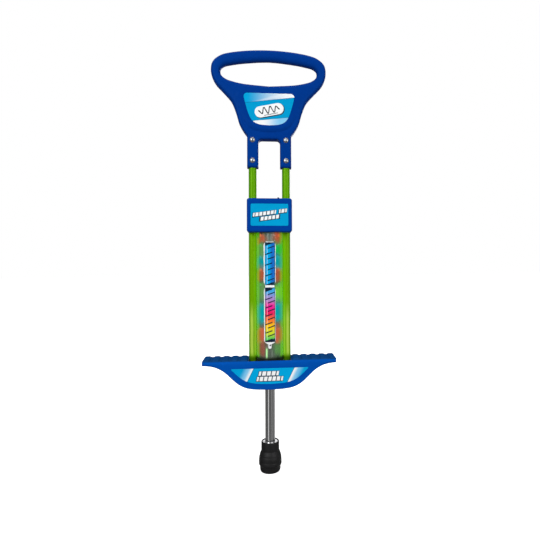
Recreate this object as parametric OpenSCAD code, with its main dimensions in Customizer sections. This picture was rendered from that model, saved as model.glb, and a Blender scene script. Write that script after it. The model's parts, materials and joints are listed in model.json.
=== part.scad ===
// Child's flashing pogo stick: twin upright tubes, clamshell handle, light barrel and sprung plunger.
// Origin at the centre of the rubber foot's sole, +Z up, front face towards -Y, millimetres.

/* [Uprights] */
// Distance between the upright tubes, centre to centre
upright_pitch = 67; // [67:0.1:67.4]
// Outer diameter of an upright tube
upright_od = 16; // [15.6:0.1:16]
// Wall thickness of an upright tube
upright_wall = 1.2; // [1:0.1:1.6]
// Height of the lower end of the upright tubes
upright_low = 186; // [185:1:188]
// Height of the upper end of the upright tubes
upright_high = 690; // [688:1:694]

/* [Handle] */
// Front to back thickness of the handle
handle_depth = 24; // [23.5:0.5:26]
// Wall thickness of the handle shells
handle_wall = 2.5; // [2.2:0.1:2.6]
// Height of the lower rivets above the sole
rivet_low = 615.4; // [612:0.2:620]
// Height of the upper rivets above the sole
rivet_high = 656.8; // [650:0.2:660]

/* [Collar] */
// Width of the collar that holds the electronics
collar_w = 88.4; // [88.4:0.2:90]
// Front to back depth of the collar
collar_d = 60; // [60:0.5:62]
// Height of the underside of the collar
collar_low = 471; // [470:0.5:472]
// Height of the top of the collar
collar_high = 537.4; // [537:0.1:538]
// Wall thickness of the collar shells
collar_wall = 2.6; // [2.4:0.1:2.6]

/* [Light barrel] */
// Outer diameter of the clear barrel
barrel_od = 50.8; // [49:0.2:50.8]
// Wall thickness of the clear barrel
barrel_wall = 2; // [1.6:0.1:2]
// Outer diameter of the steel tube round the spring
spring_tube_od = 30; // [29.8:0.1:30]
// Wall thickness of the steel tube round the spring
spring_tube_wall = 1.4; // [1.2:0.1:1.4]

/* [Spring] */
// Wire diameter of the main spring
wire_d = 3.2; // [2.8:0.1:3.4]
// Number of turns in the main spring
spring_turns = 20; // [16:1:24]
// Mean radius of the spring coil
coil_r = 11; // [10.8:0.1:11.2]

/* [Footrest] */
// Width of the footrest across both treads
footrest_w = 260; // [258:1:262]
// Front to back depth of the footrest
footrest_d = 57; // [56:0.5:58]
// Height of the tread surface
tread_z = 221; // [220.6:0.2:221.4]
// Height of the lowest point of the footrest
footrest_low = 164.9; // [164.6:0.1:165.2]
// Wall thickness of the footrest shells
footrest_wall = 3; // [2.6:0.1:3]
// Number of grip ribs on each tread
ribs = 5; // [3:1:5]

/* [Plunger and foot] */
// Outer diameter of the chromed plunger tube
plunger_od = 20; // [19.6:0.1:20]
// Wall thickness of the plunger tube
plunger_wall = 1.5; // [1.2:0.1:1.6]
// Height of the rubber foot's rim
foot_h = 58.4; // [57:0.2:60]
// Widest radius of the rubber foot
foot_r = 22.4; // [22:0.1:24]

/* [Hidden] */

$fn = 48;
ux = upright_pitch / 2;
upright_r = upright_od / 2;
slip = 0.1;
handle_half = handle_depth / 2;
collar_hx = collar_w / 2;
collar_hy = collar_d / 2;
barrel_r = barrel_od / 2;
spring_tube_r = spring_tube_od / 2;
spring_bore_r = spring_tube_r - spring_tube_wall;
rest_hy = footrest_d / 2;
rest_hx = footrest_w / 2;
plunger_r = plunger_od / 2;
label_t = 0.35;

// Heights along the axis
plunger_low = 10;
plunger_high = 222;
bushing_low = 171;
tube_low = 176;
bushing_high = 200;
head_low = 206;
spring_low = 226;
spring_high = 468;
tube_high = 488;
plunger_pin_z = 214;
cap_pin_z = 478;
bar_low = 213;
bar_high = 217;
washer_low = foot_h - 2.6;
pocket_r = 14.6;

// Handle outline: shoulder, waist, flare, grip end and crown, right half
shoulder_x = 44.2;
leg_in_x = 21.8;
leg_low = 601.4;
window_high = 658.6;
window_r = 7;
handle_side = [[44.2, 666], [52.4, 677.5], [60.2, 692.5], [67, 715], [75.8, 735.5], [91.4, 753.5],
    [105.8, 769], [113.6, 784], [116.6, 800], [113.6, 815.4], [102.5, 826.8], [84, 834.6], [45, 840.8]];
handle_crown = [0, 843];
slot_side = [[50, 816], [80, 810.8], [90, 807.6], [96, 802.4], [97.4, 795.4], [95, 788.6],
    [88.4, 783], [77, 778.2], [50, 772.6]];
slot_top = [0, 820];
slot_bottom = [0, 768.8];
handle_screw_spots = [[58, 827.6], [107.3, 797], [63, 748], [0, 664.5]];
grip_layers = [[0.55, 0], [0.85, 1.6], [1, 4.4]];

// Label outlines, right half
handle_label_x = 51;
handle_label_side = [[46.5, 726], [39.8, 705.5], [31.5, 693.5], [19, 688]];
handle_label_top = 751.5;
handle_label_low = 686.4;
rest_label_low = 176.6;
rest_label_top = 207;
rest_label_x = 74;

// Footrest: its underside rises outwards along a smooth step, ribs cross each tread, and the uprights
// and the barrel come down into a well between the treads
rise_x = 75.5;
rise_w = 25.3;
rise_h = 49.1;
rest_label_rise_x = 70;
rest_edge = 1.6;
well_x = 42;
rib_first = 51;
rib_pitch = 18.2;
rib_half = 6.6;
rib_rise = 2.2;

// Collar contents
collar_screw_zs = [484, 522];
button_x = 17.7;
button_y = -8.4;
button_low = 533.3;
button_high = 541.6;
board_y = -12;
board_t = 1.6;
board_back = board_y + board_t;
board_zs = [494, 531];
tray_x = 25;
tray_y = 9.8;
tray_z = [492.4, 527.8];
cell_r = 5.25;
cell_l = 44.5;
cell_y = 16.6;
cell_zs = [499.2, 510.2, 521.2];
door_hx = 24;
door_t = 2.4;
door_high = 532;
door_low = 492;
door_screw_z = 529.4;

// Lights on each strip, from the top down
strip_x = 18.9;
strip_low = 219;
red_zs = [466, 397, 278];
green_zs = [446, 367, 254];
teal_zs = [422, 327, 302];

// Fastener places
bolt_z = 197;
rest_screw_spots = [[84, 209], [60, 188], [22, 175.7]];
board_screw_spots = [[-19, 497.5], [19, 497.5]];

// Routes of the internal leads
lead_r = 0.7;
lead_pitch = 3;
battery_lead = [[-19, board_back + 0.1, 503], [-19, -6, 503], [-19.5, 0, 502], [-20, 6, 503], [-20, 9.6, 504]];
light_lead = [[19, board_back + 0.1, 494.4], [19, -6, 494.6], [19, -2.5, 494], [19, 0, 491.4], [19, 0, 484.5]];

// ---------- shared geometry ----------

function cr(a, b, c, d, t) =
    0.5 * (2 * b + (c - a) * t + (2 * a - 5 * b + 4 * c - d) * t * t + (3 * b - a - 3 * c + d) * t * t * t);
function smooth(p, n) = [for (i = [0:len(p) - 2]) for (k = [0:n - 1])
    cr(p[max(i - 1, 0)], p[i], p[i + 1], p[min(i + 2, len(p) - 1)], k / n)];
function flip(p) = [for (i = [len(p) - 1:-1:0]) [-p[i][0], p[i][1]]];
function reverse(p) = [for (i = [len(p) - 1:-1:0]) p[i]];
function arc(c, r, a0, a1, n) = [for (i = [0:n])
    [c[0] + r * cos(a0 + (a1 - a0) * i / n), c[1] + r * sin(a0 + (a1 - a0) * i / n)]];
function unit(v) = v / norm(v);
function side_normal(a, b) = let (d = unit(b - a)) [-d[1], d[0]];
// Moves every corner of a closed outline inwards by d, for an anticlockwise outline
function inset(p, d) = [for (i = [0:len(p) - 1])
    let (a = side_normal(p[(i + len(p) - 1) % len(p)], p[i]), b = side_normal(p[i], p[(i + 1) % len(p)]))
    p[i] + (a + b) * d / (1 + a * b)];

// Extrudes an outline drawn in X and Z from y0 to y1
module along_y(y0, y1) {
    translate([0, y1, 0])
        rotate([90, 0, 0])
            linear_extrude(y1 - y0)
                children();
}

// Round rod along Y, centred on x, z
module rod_y(x, z, r, y0, y1) {
    translate([x, y1, z])
        rotate([90, 0, 0])
            cylinder(r = r, h = y1 - y0);
}

module rod_x(y, z, r, x0, x1) {
    translate([x0, y, z])
        rotate([0, 90, 0])
            cylinder(r = r, h = x1 - x0);
}

module rod_z(x, y, r, z0, z1) {
    translate([x, y, z0])
        cylinder(r = r, h = z1 - z0);
}

module block(lo, hi) {
    translate(lo)
        cube(hi - lo);
}

module pipe(r, wall, z0, z1) {
    difference() {
        rod_z(0, 0, r, z0, z1);
        rod_z(0, 0, r - wall, z0 - 1, z1 + 1);
    }
}

module round_box_2d(hx, lo, hi, r) {
    translate([-hx + r, lo])
        square([2 * (hx - r), hi - lo]);
    translate([-hx, lo + r])
        square([2 * hx, hi - lo - 2 * r]);
    for (x = [-hx + r, hx - r])
        for (z = [lo + r, hi - r])
            translate([x, z])
                circle(r = r);
}

// Keeps the front (side -1) or the rear (side 1) half of a shape
module half(side) {
    intersection() {
        children();
        translate([-200, side < 0 ? -100 : 0, 0])
            cube([400, 100, 900]);
    }
}

// Sweeps a round wire of radius r along a smooth route
module wire(route, r, sides, steps) {
    path = concat(smooth(route, steps), [route[len(route) - 1]]);
    n = len(path);
    dirs = [for (i = [0:n - 1]) unit(path[min(i + 1, n - 1)] - path[max(i - 1, 0)])];
    across = [1, 0, 0];
    rings = [for (i = [0:n - 1]) let (u = unit(cross(dirs[i], across)), v = cross(dirs[i], u))
        for (k = [0:sides - 1]) path[i] + r * (cos(360 * k / sides) * u + sin(360 * k / sides) * v)];
    skin(rings, n, sides);
}

// Closed skin over n rings of equal point count
module skin(rings, n, sides) {
    walls = [for (i = [0:n - 2]) for (k = [0:sides - 1])
        [i * sides + k, i * sides + (k + 1) % sides, (i + 1) * sides + (k + 1) % sides, (i + 1) * sides + k]];
    first = [for (k = [sides - 1:-1:0]) k];
    last = [for (k = [0:sides - 1]) (n - 1) * sides + k];
    polyhedron(points = rings, faces = concat([first], walls, [last]), convexity = 6);
}

// Openings that the uprights and the barrel pass through
module tube_gap_2d(barrel) {
    for (s = [-1, 1])
        translate([s * ux, 0])
            circle(r = upright_r + slip);
    if (barrel) {
        circle(r = barrel_r + 0.15);
        translate([-ux, -4])
            square([2 * ux, 8]);
    }
}

// ---------- uprights ----------

module upright(side) {
    difference() {
        translate([side * ux, 0, 0])
            pipe(upright_r, upright_wall, upright_low, upright_high);
        for (z = [rivet_low, rivet_high])
            rod_y(side * ux, z, 2.45, -10, -3);
        for (z = collar_screw_zs)
            rod_y(side * ux, z, 2.15, -10, 10);
        rod_y(side * ux, bolt_z, 2.6, -10, 10);
    }
}

module left_upright() {
    color([0.39, 0.65, 0.02])
        upright(-1);
}

module right_upright() {
    color([0.39, 0.65, 0.02])
        upright(1);
}

module upright_plugs() {
    color([0.1, 0.1, 0.1])
        for (s = [-1, 1])
            translate([s * ux, 0, 0]) {
                rod_z(0, 0, upright_r - upright_wall - 0.05, upright_high - 10, upright_high);
                rod_z(0, 0, upright_r, upright_high, upright_high + 1.5);
                rod_z(0, 0, upright_r - upright_wall - 0.05, upright_low, upright_low + 5);
                rod_z(0, 0, upright_r, upright_low - 1.5, upright_low);
            }
}

// ---------- handle ----------

function handle_outline() = concat(
    [[leg_in_x, leg_low], [shoulder_x, leg_low]],
    smooth(concat(handle_side, [handle_crown], flip(handle_side)), 2),
    [[-shoulder_x, leg_low], [-leg_in_x, leg_low]],
    arc([-leg_in_x + window_r, window_high - window_r], window_r, 180, 90, 4),
    arc([leg_in_x - window_r, window_high - window_r], window_r, 90, 0, 4));

function slot_outline() = let (loop = smooth(concat([slot_bottom], reverse(slot_side), [slot_top],
    [for (p = slot_side) [-p[0], p[1]]], [slot_bottom]), 2))
    [for (i = [0:len(loop) - 2]) loop[i]];

module handle_solid(side) {
    for (layer = grip_layers) {
        depth = handle_half * layer[0];
        along_y(side < 0 ? -depth : 0, side < 0 ? 0 : depth)
            difference() {
                polygon(inset(handle_outline(), layer[1]));
                polygon(inset(slot_outline(), -layer[1]));
            }
    }
}

module handle_shell(side) {
    inner = handle_half - handle_wall;
    difference() {
        handle_solid(side);
        difference() {
            along_y(side < 0 ? -inner : -1, side < 0 ? 1 : inner)
                difference() {
                    polygon(inset(handle_outline(), handle_wall));
                    polygon(inset(slot_outline(), -handle_wall));
                }
            for (spot = handle_screw_spots)
                for (s = spot[0] > 0 ? [-1, 1] : [1])
                    rod_y(s * spot[0], spot[1], 4, side < 0 ? -inner - 1 : 0, side < 0 ? 0 : inner + 1);
        }
        for (s = [-1, 1])
            rod_z(s * ux, 0, upright_r + slip, leg_low - 1, leg_low + 8);
        for (spot = handle_screw_spots)
            for (s = spot[0] > 0 ? [-1, 1] : [1])
                if (side > 0) {
                    rod_y(s * spot[0], spot[1], 1.75, -1, handle_half + 1);
                    rod_y(s * spot[0], spot[1], 3.4, handle_half - 3.5, handle_half + 1);
                } else {
                    rod_y(s * spot[0], spot[1], 1.55, -8, 1);
                }
        if (side < 0) {
            for (s = [-1, 1])
                for (z = [rivet_low, rivet_high])
                    rod_y(s * ux, z, 2.45, -handle_half - 1, 0);
            along_y(-handle_half - 1, -handle_half + label_t)
                handle_label_2d(0);
        }
    }
}

module handle_front_shell() {
    color([0.0, 0.2, 0.57])
        handle_shell(-1);
}

module handle_rear_shell() {
    color([0.0, 0.2, 0.57])
        handle_shell(1);
}

module handle_screws() {
    color([0.6, 0.6, 0.62])
        for (spot = handle_screw_spots)
            for (s = spot[0] > 0 ? [-1, 1] : [1])
                pan_screw(s * spot[0], spot[1], handle_half - 3.5, -7.5, shank_r = 1.5, head_r = 3.1,
                    head_t = 2.2);
}

// Screw whose head sits on the face y, with its shank running forwards to y_tip
module pan_screw(x, z, y, y_tip, shank_r, head_r, head_t) {
    difference() {
        union() {
            rod_y(x, z, shank_r, y_tip, y);
            rod_y(x, z, head_r, y, y + head_t);
        }
        translate([x, y + head_t, z]) {
            cube([head_r * 1.3, 1.6, 0.8], center = true);
            cube([0.8, 1.6, head_r * 1.3], center = true);
        }
    }
}

module handle_rivets() {
    color([0.75, 0.76, 0.78])
        for (s = [-1, 1])
            for (z = [rivet_low, rivet_high])
                translate([s * ux, -handle_half, z])
                    rotate([90, 0, 0])
                        rivet();
}

module rivet() {
    head_r = 5.5;
    head_h = 2.6;
    ball_r = (head_r * head_r + head_h * head_h) / (2 * head_h);
    rotate_extrude()
        polygon(concat([[0, -8.4], [3, -8.4], [3, -6.3], [2.4, -6.3], [2.4, 0]],
            arc([0, head_h - ball_r], ball_r, asin((ball_r - head_h) / ball_r), 90, 8)));
}

module handle_label_2d(gap) {
    r = 7.5;
    polygon(inset(concat([[0, handle_label_low]],
        reverse(handle_label_side),
        arc([handle_label_x - r, handle_label_top - r], r, 0, 90, 5),
        arc([-handle_label_x + r, handle_label_top - r], r, 90, 180, 5),
        [for (p = handle_label_side) [-p[0], p[1]]]), gap));
}

module handle_label() {
    color([0.05, 0.62, 0.86])
        along_y(-handle_half, -handle_half + label_t)
            handle_label_2d(0.1);
}

// ---------- collar ----------

module collar_block(grow) {
    intersection() {
        along_y(-collar_hy + grow, collar_hy - grow)
            round_box_2d(collar_hx - grow, collar_low + grow, collar_high - grow, 4 - grow / 2);
        translate([0, 0, collar_low])
            linear_extrude(collar_high - collar_low)
                translate([0, -collar_hy])
                    round_box_2d(collar_hx - grow, grow, 2 * collar_hy - grow, 9 - grow);
    }
}

module collar_shell(side) {
    inner = collar_hy - collar_wall;
    corner_room = 4;
    difference() {
        half(side)
            collar_block(0);
        difference() {
            collar_block(collar_wall);
            for (s = [-1, 1])
                for (z = collar_screw_zs)
                    rod_y(s * ux, z, 4, side < 0 ? -inner - 1 : 8.2, side < 0 ? -8.2 : inner + 1);
            if (side < 0)
                for (p = board_screw_spots)
                    rod_y(p[0], p[1], 2.6, -inner - 1, board_y);
        }
        translate([0, 0, collar_low - 1])
            linear_extrude(collar_wall + corner_room)
                tube_gap_2d(true);
        translate([0, 0, collar_high - collar_wall - corner_room])
            linear_extrude(collar_wall + corner_room + 1)
                tube_gap_2d(false);
        if (side < 0) {
            rod_z(button_x, button_y, 2.15, collar_high - collar_wall - 1, collar_high + 1);
            along_y(-collar_hy - 1, -collar_hy + label_t)
                round_box_2d(36.8, 483.1, 526.5, 2.6);
            for (s = [-1, 1])
                for (z = collar_screw_zs)
                    rod_y(s * ux, z, 2.05, -18, 0);
            for (p = board_screw_spots)
                rod_y(p[0], p[1], 1.25, -19, board_y + 1);
        } else {
            block([-door_hx - 0.15, 20, door_low - 0.1], [door_hx + 0.15, 40, door_high + 0.15]);
            rod_x(collar_hy - door_t / 2, door_low + door_t / 2, 1.05, -door_hx - 1.6, door_hx + 1.6);
            for (s = [-1, 1])
                for (z = collar_screw_zs) {
                    rod_y(s * ux, z, 2.15, 0, collar_hy + 1);
                    rod_y(s * ux, z, 3.8, collar_hy - 3.5, collar_hy + 1);
                }
        }
    }
}

module collar_front_shell() {
    color([0.01, 0.24, 0.6])
        collar_shell(-1);
}

module collar_rear_shell() {
    color([0.01, 0.24, 0.6])
        collar_shell(1);
}

module collar_screws() {
    color([0.6, 0.6, 0.62])
        for (s = [-1, 1])
            for (z = collar_screw_zs)
                pan_screw(s * ux, z, collar_hy - 3.5, -17, shank_r = 2, head_r = 3.5, head_t = 2.5);
}

module collar_label() {
    color([0.03, 0.66, 0.88])
        along_y(-collar_hy, -collar_hy + label_t)
            round_box_2d(36.7, 483.2, 526.4, 2.5);
}

module battery_tray() {
    wall = 1.2;
    color([0.12, 0.12, 0.13])
        difference() {
            union() {
                block([-tray_x, tray_y, tray_z[0]], [tray_x, collar_hy - collar_wall, tray_z[1]]);
                block([-5, 21, tray_z[1] - 1], [5, collar_hy - collar_wall, 532.4]);
            }
            block([-tray_x + wall, tray_y + wall, tray_z[0] + wall],
                [tray_x - wall, collar_hy, tray_z[1] - wall]);
            rod_y(0, door_screw_z, 2, 20, 40);
        }
}

module battery_contacts() {
    plate_x = 23.3;
    plate_t = 0.4;
    plate_half = [3.5, 4];
    dimple_r = 2.2;
    color([0.8, 0.79, 0.74])
        for (z = cell_zs)
            for (s = [0, 1])
                mirror([s, 0, 0]) {
                    block([plate_x, cell_y - plate_half[0], z - plate_half[1]],
                        [plate_x + plate_t, cell_y + plate_half[0], z + plate_half[1]]);
                    rod_x(cell_y, z, dimple_r, plate_x - 1, plate_x);
                }
}

module batteries() {
    nub_r = 1.9;
    nub_h = 1;
    color([0.55, 0.35, 0.12])
        for (i = [0:2])
            translate([0, cell_y, cell_zs[i]])
                mirror([i % 2, 0, 0]) {
                    rod_x(0, 0, cell_r, -cell_l / 2, cell_l / 2 - nub_h);
                    rod_x(0, 0, nub_r, cell_l / 2 - nub_h, cell_l / 2);
                }
}

module circuit_board() {
    half_w = 23;
    hole_r = 1.5;
    color([0.05, 0.35, 0.16])
        difference() {
            block([-half_w, board_y, board_zs[0]], [half_w, board_back, board_zs[1]]);
            for (p = board_screw_spots)
                rod_y(p[0], p[1], hole_r, board_y - 1, board_y + 3);
        }
}

module board_screws() {
    color([0.6, 0.6, 0.62])
        for (p = board_screw_spots)
            pan_screw(p[0], p[1], board_back, -18.5, shank_r = 1.2, head_r = 2.2, head_t = 1.4);
}

module control_chip() {
    centre = [-7, 513];
    body = 5;
    legs = 6.6;
    leg_w = 0.6;
    leg_pitch = 1.8;
    color([0.08, 0.08, 0.09])
        translate([centre[0], board_y, centre[1]])
            union() {
                block([-body, -1.8, -body], [body, 0, body]);
                for (i = [-2:2])
                    block([-legs, -0.7, i * leg_pitch - leg_w / 2], [legs, -0.2, i * leg_pitch + leg_w / 2]);
            }
}

module motion_sensor() {
    at = [6, 505];
    can = [2.6, 14];
    stand_off = 3;
    foot = [1, 1.4];
    color([0.72, 0.72, 0.74])
        translate([at[0], board_y, at[1]])
            union() {
                rod_z(0, -stand_off, can[0], 0, can[1]);
                block([-foot[0], -stand_off, -foot[1]], [foot[0], 0, 0]);
                block([-foot[0], -stand_off, can[1]], [foot[0], 0, can[1] + foot[1]]);
            }
}

module button_switch() {
    half_w = 3;
    low = 525.4;
    high = 530;
    stem_r = 1.3;
    travel_gap = 1.6;
    color([0.1, 0.1, 0.11])
        union() {
            block([button_x - half_w, board_back, low], [button_x + half_w, button_y + 2, high]);
            rod_z(button_x, button_y, stem_r, high, button_low - travel_gap);
        }
}

module board_leads() {
    color([0.75, 0.08, 0.06])
        for (dx = [0, lead_pitch])
            translate([dx, 0, 0])
                wire(battery_lead, lead_r, 8, 4);
}

module light_leads() {
    color([0.85, 0.85, 0.82])
        for (s = [-1, 1])
            mirror([s < 0 ? 1 : 0, 0, 0])
                wire(light_lead, lead_r, 8, 4);
}

// ---------- light barrel ----------

module light_barrel() {
    color([0.9, 0.95, 0.93, 0.35])
        pipe(barrel_r, barrel_wall, bar_high, tube_high);
}

module barrel_label() {
    spread = 28;
    color([0.16, 0.55, 0.85])
        translate([0, 0, 250])
            rotate([0, 0, 270 - spread])
                rotate_extrude(angle = 2 * spread, $fn = 96)
                    translate([barrel_r, 0])
                        square([label_t, 203]);
}

module light_strip(side) {
    difference() {
        block([side > 0 ? 15.6 : -22.2, -0.6, strip_low], [side > 0 ? 22.2 : -15.6, 0.6, 484.4]);
        rod_y(side * strip_x, 240, 0.9, -2, 2);
    }
}

module left_light_strip() {
    color([0.92, 0.93, 0.9])
        light_strip(-1);
}

module right_light_strip() {
    color([0.92, 0.93, 0.9])
        light_strip(1);
}

module led(x, z) {
    translate([x, -0.6, z])
        rotate([90, 0, 0])
            rotate_extrude($fn = 32)
                polygon(concat([[0, 0], [2.9, 0], [2.9, 1], [2.5, 1]], arc([0, 2.4], 2.5, 0, 90, 6)));
}

module led_set(zs) {
    for (s = [-1, 1])
        for (z = zs)
            led(s * strip_x, z);
}

module red_leds() {
    color([0.9, 0.12, 0.08])
        led_set(red_zs);
}

module green_leds() {
    color([0.1, 0.8, 0.2])
        led_set(green_zs);
}

module teal_leds() {
    color([0.05, 0.7, 0.75])
        led_set(teal_zs);
}

module spring_tube() {
    color([0.66, 0.67, 0.69])
        difference() {
            pipe(spring_tube_r, spring_tube_wall, tube_low, tube_high);
            rod_y(0, cap_pin_z, 2.55, -20, 20);
        }
}

module spring_cap() {
    color([0.16, 0.16, 0.17])
        difference() {
            union() {
                rod_z(0, 0, barrel_r - 0.2, tube_high, tube_high + 3.2);
                rod_z(0, 0, spring_bore_r - 0.05, spring_high, tube_high);
                rod_z(0, 0, coil_r - wire_d / 2 - 0.6, spring_high - 12, spring_high);
            }
            for (s = [-1, 1])
                rod_z(s * 19, 0, 1.6, tube_high - 1, tube_high + 5);
            rod_y(0, cap_pin_z, 2.55, -20, 20);
        }
}

module cap_pin() {
    color([0.7, 0.7, 0.72])
        rod_y(0, cap_pin_z, 2.5, -spring_tube_r + 0.2, spring_tube_r - 0.2);
}

module main_spring() {
    steps = 16;
    sides = 6;
    n = spring_turns * steps + 1;
    rise = spring_high - spring_low - wire_d - 0.4;
    // The end turns lie closed and the turns between share the rest of the rise
    lift = function (a) let (e = 1.5, t = a / 360, flat = wire_d * 1.02)
        t < e ? t * flat
        : t > spring_turns - e ? rise - (spring_turns - t) * flat
        : e * flat + (t - e) * (rise - 2 * e * flat) / (spring_turns - 2 * e);
    rings = [for (i = [0:n - 1]) let (a = 360 * i / steps, u = [cos(a), sin(a), 0])
        for (k = [0:sides - 1]) let (b = 360 * k / sides)
            (coil_r + wire_d / 2 * cos(b)) * u
            + [0, 0, spring_low + wire_d / 2 + 0.2 + lift(a) + wire_d / 2 * sin(b)]];
    color([0.45, 0.46, 0.48])
        skin(rings, n, sides);
}

module lower_bushing() {
    color([0.93, 0.93, 0.9])
        difference() {
            union() {
                rod_z(0, 0, 17, bushing_low, tube_low);
                rod_z(0, 0, spring_bore_r - 0.05, tube_low, bushing_high);
            }
            rod_z(0, 0, plunger_r + 0.06, bushing_low - 1, bushing_high + 1);
        }
}

module bump_stop() {
    color([0.1, 0.1, 0.1])
        difference() {
            rod_z(0, 0, spring_bore_r - 0.2, bushing_high, head_low);
            rod_z(0, 0, plunger_r + 0.3, bushing_high - 1, head_low + 1);
        }
}

// ---------- footrest ----------

function tanh(v) = let (e = exp(2 * v)) (e - 1) / (e + 1);
function sweep_up(x, low, at) = low + rise_h * (1 + tanh((abs(x) - at) / rise_w)) / 2;
function footrest_outline() = concat(
    [for (i = [-14:14]) let (x = i * rest_hx / 14) [x, sweep_up(x, footrest_low, rise_x)]],
    [[rest_hx, tread_z], [-rest_hx, tread_z]]);
function rest_label_outline() = concat(
    [for (i = [-10:10]) let (x = i * rest_label_x / 10) [x, sweep_up(x, rest_label_low, rest_label_rise_x)]],
    [[rest_label_x, rest_label_top], [-rest_label_x, rest_label_top]]);

module footrest_solid() {
    along_y(-rest_hy + rest_edge, rest_hy - rest_edge)
        polygon(footrest_outline());
    along_y(-rest_hy, rest_hy)
        polygon(inset(footrest_outline(), rest_edge));
    for (s = [-1, 1])
        for (i = [0:ribs - 1])
            let (x = s * (rib_first + rib_pitch * i))
                block([x - rib_half, -rest_hy + rest_edge, tread_z - 1],
                    [x + rib_half, rest_hy - rest_edge, tread_z + rib_rise]);
}

module footrest_shell(side) {
    inner = rest_hy - footrest_wall;
    difference() {
        half(side)
            footrest_solid();
        difference() {
            along_y(-inner, inner)
                intersection() {
                    polygon(inset(footrest_outline(), footrest_wall));
                    translate([-103, 0])
                        square([206, 400]);
                }
            for (spot = rest_screw_spots)
                for (s = [-1, 1])
                    rod_y(s * spot[0], spot[1], 3.5, side < 0 ? -inner - 1 : 0, side < 0 ? 0 : inner + 1);
        }
        block([-well_x, -inner, tread_z - footrest_wall - 1], [well_x, inner, tread_z + 1]);
        rod_z(0, 0, plunger_r + 1, footrest_low - 1, footrest_low + 6);
        for (spot = rest_screw_spots)
            for (s = [-1, 1])
                if (side > 0) {
                    rod_y(s * spot[0], spot[1], 1.75, -1, rest_hy + 1);
                    rod_y(s * spot[0], spot[1], 3.3, rest_hy - 2.8, rest_hy + 1);
                } else {
                    rod_y(s * spot[0], spot[1], 1.55, -14, 1);
                }
        if (side < 0)
            along_y(-rest_hy - 1, -rest_hy + label_t)
                polygon(inset(rest_label_outline(), -0.1));
    }
}

module footrest_front_shell() {
    color([0.01, 0.31, 0.68])
        footrest_shell(-1);
}

module footrest_rear_shell() {
    color([0.01, 0.31, 0.68])
        footrest_shell(1);
}

module footrest_screws() {
    color([0.6, 0.6, 0.62])
        for (spot = rest_screw_spots)
            for (s = [-1, 1])
                pan_screw(s * spot[0], spot[1], rest_hy - 2.8, -13.5, shank_r = 1.5, head_r = 3.1,
                    head_t = 2);
}

module footrest_label() {
    color([0.03, 0.62, 0.86])
        along_y(-rest_hy, -rest_hy + label_t)
            polygon(rest_label_outline());
}

module footrest_bracket() {
    color([0.3, 0.31, 0.33])
        difference() {
            union() {
                block([-92, -22, bar_low], [92, 22, bar_high]);
                for (s = [-1, 1])
                    block([-46, s > 0 ? 20 : -22, 188], [46, s > 0 ? 22 : -20, bar_low + 1]);
            }
            rod_z(0, 0, spring_tube_r + slip, bar_low - 1, bar_high + 1);
            for (s = [-1, 1]) {
                rod_z(s * ux, 0, upright_r + slip, bar_low - 1, bar_high + 1);
                rod_y(s * ux, bolt_z, 2.6, -30, 30);
            }
        }
}

module bracket_bolts() {
    color([0.68, 0.69, 0.7])
        for (s = [-1, 1]) {
            rod_y(s * ux, bolt_z, 2.5, -22, 24.6);
            translate([s * ux, -22, bolt_z])
                rotate([90, 0, 0])
                    cylinder(r = 4.6, h = 2.6, $fn = 6);
            translate([s * ux, 24.4, bolt_z])
                rotate([90, 0, 0])
                    cylinder(r = 4.6, h = 2.4, $fn = 6);
        }
}

// ---------- plunger ----------

module plunger_tube() {
    color([0.78, 0.79, 0.8])
        difference() {
            pipe(plunger_r, plunger_wall, plunger_low, plunger_high);
            rod_x(0, plunger_pin_z, 2.05, -20, 20);
        }
}

module plunger_head() {
    color([0.85, 0.83, 0.76])
        difference() {
            union() {
                rod_z(0, 0, spring_bore_r - 0.1, head_low, spring_low);
                rod_z(0, 0, coil_r - wire_d / 2 - 0.6, spring_low, spring_low + 12);
            }
            rod_z(0, 0, plunger_r + 0.03, head_low - 1, plunger_high);
            rod_x(0, plunger_pin_z, 2.05, -20, 20);
        }
}

module plunger_pin() {
    color([0.7, 0.7, 0.72])
        rod_x(0, plunger_pin_z, 2, -spring_bore_r + 0.6, spring_bore_r - 0.6);
}

module rubber_foot() {
    neck_r = 17.7;
    base_r = 20.2;
    color([0.1, 0.1, 0.1])
        rotate_extrude($fn = 96)
            polygon(concat(
                [[0, 0], [16.6, 0], [18.4, 0.6], [base_r - 0.6, 2.4], [base_r, 4.8], [base_r + 0.1, 12.2]],
                [[foot_r - 0.6, 13.2], [foot_r, 14.6], [foot_r, 20], [foot_r - 0.6, 29.5]],
                smooth([[foot_r - 0.8, 31], [20.4, 35.2], [18.2, 38.8], [neck_r, 40.8]], 2),
                [[neck_r, 40.8], [neck_r, foot_h - 0.8], [neck_r - 0.8, foot_h]],
                [[pocket_r, foot_h], [pocket_r, washer_low], [plunger_r + 0.04, washer_low]],
                [[plunger_r + 0.04, 8], [0, 8]]));
}

module foot_washer() {
    color([0.86, 0.87, 0.88])
        difference() {
            rod_z(0, 0, pocket_r - 0.1, washer_low, washer_low + 1.4);
            rod_z(0, 0, plunger_r + 0.05, washer_low - 1, washer_low + 3);
        }
}

module foot_insert() {
    color([0.5, 0.5, 0.52])
        rod_z(0, 0, plunger_r - 0.1, 8, plunger_low);
}

// ---------- button and battery door ----------

module power_button() {
    color([0.06, 0.06, 0.07])
        translate([button_x, button_y, 0])
            rotate_extrude()
                polygon([[0, button_low], [3.1, button_low], [3.1, button_low + 1.4], [2.05, button_low + 1.4],
                    [2.05, button_high - 0.8], [1.4, button_high], [0, button_high]]);
}

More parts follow.
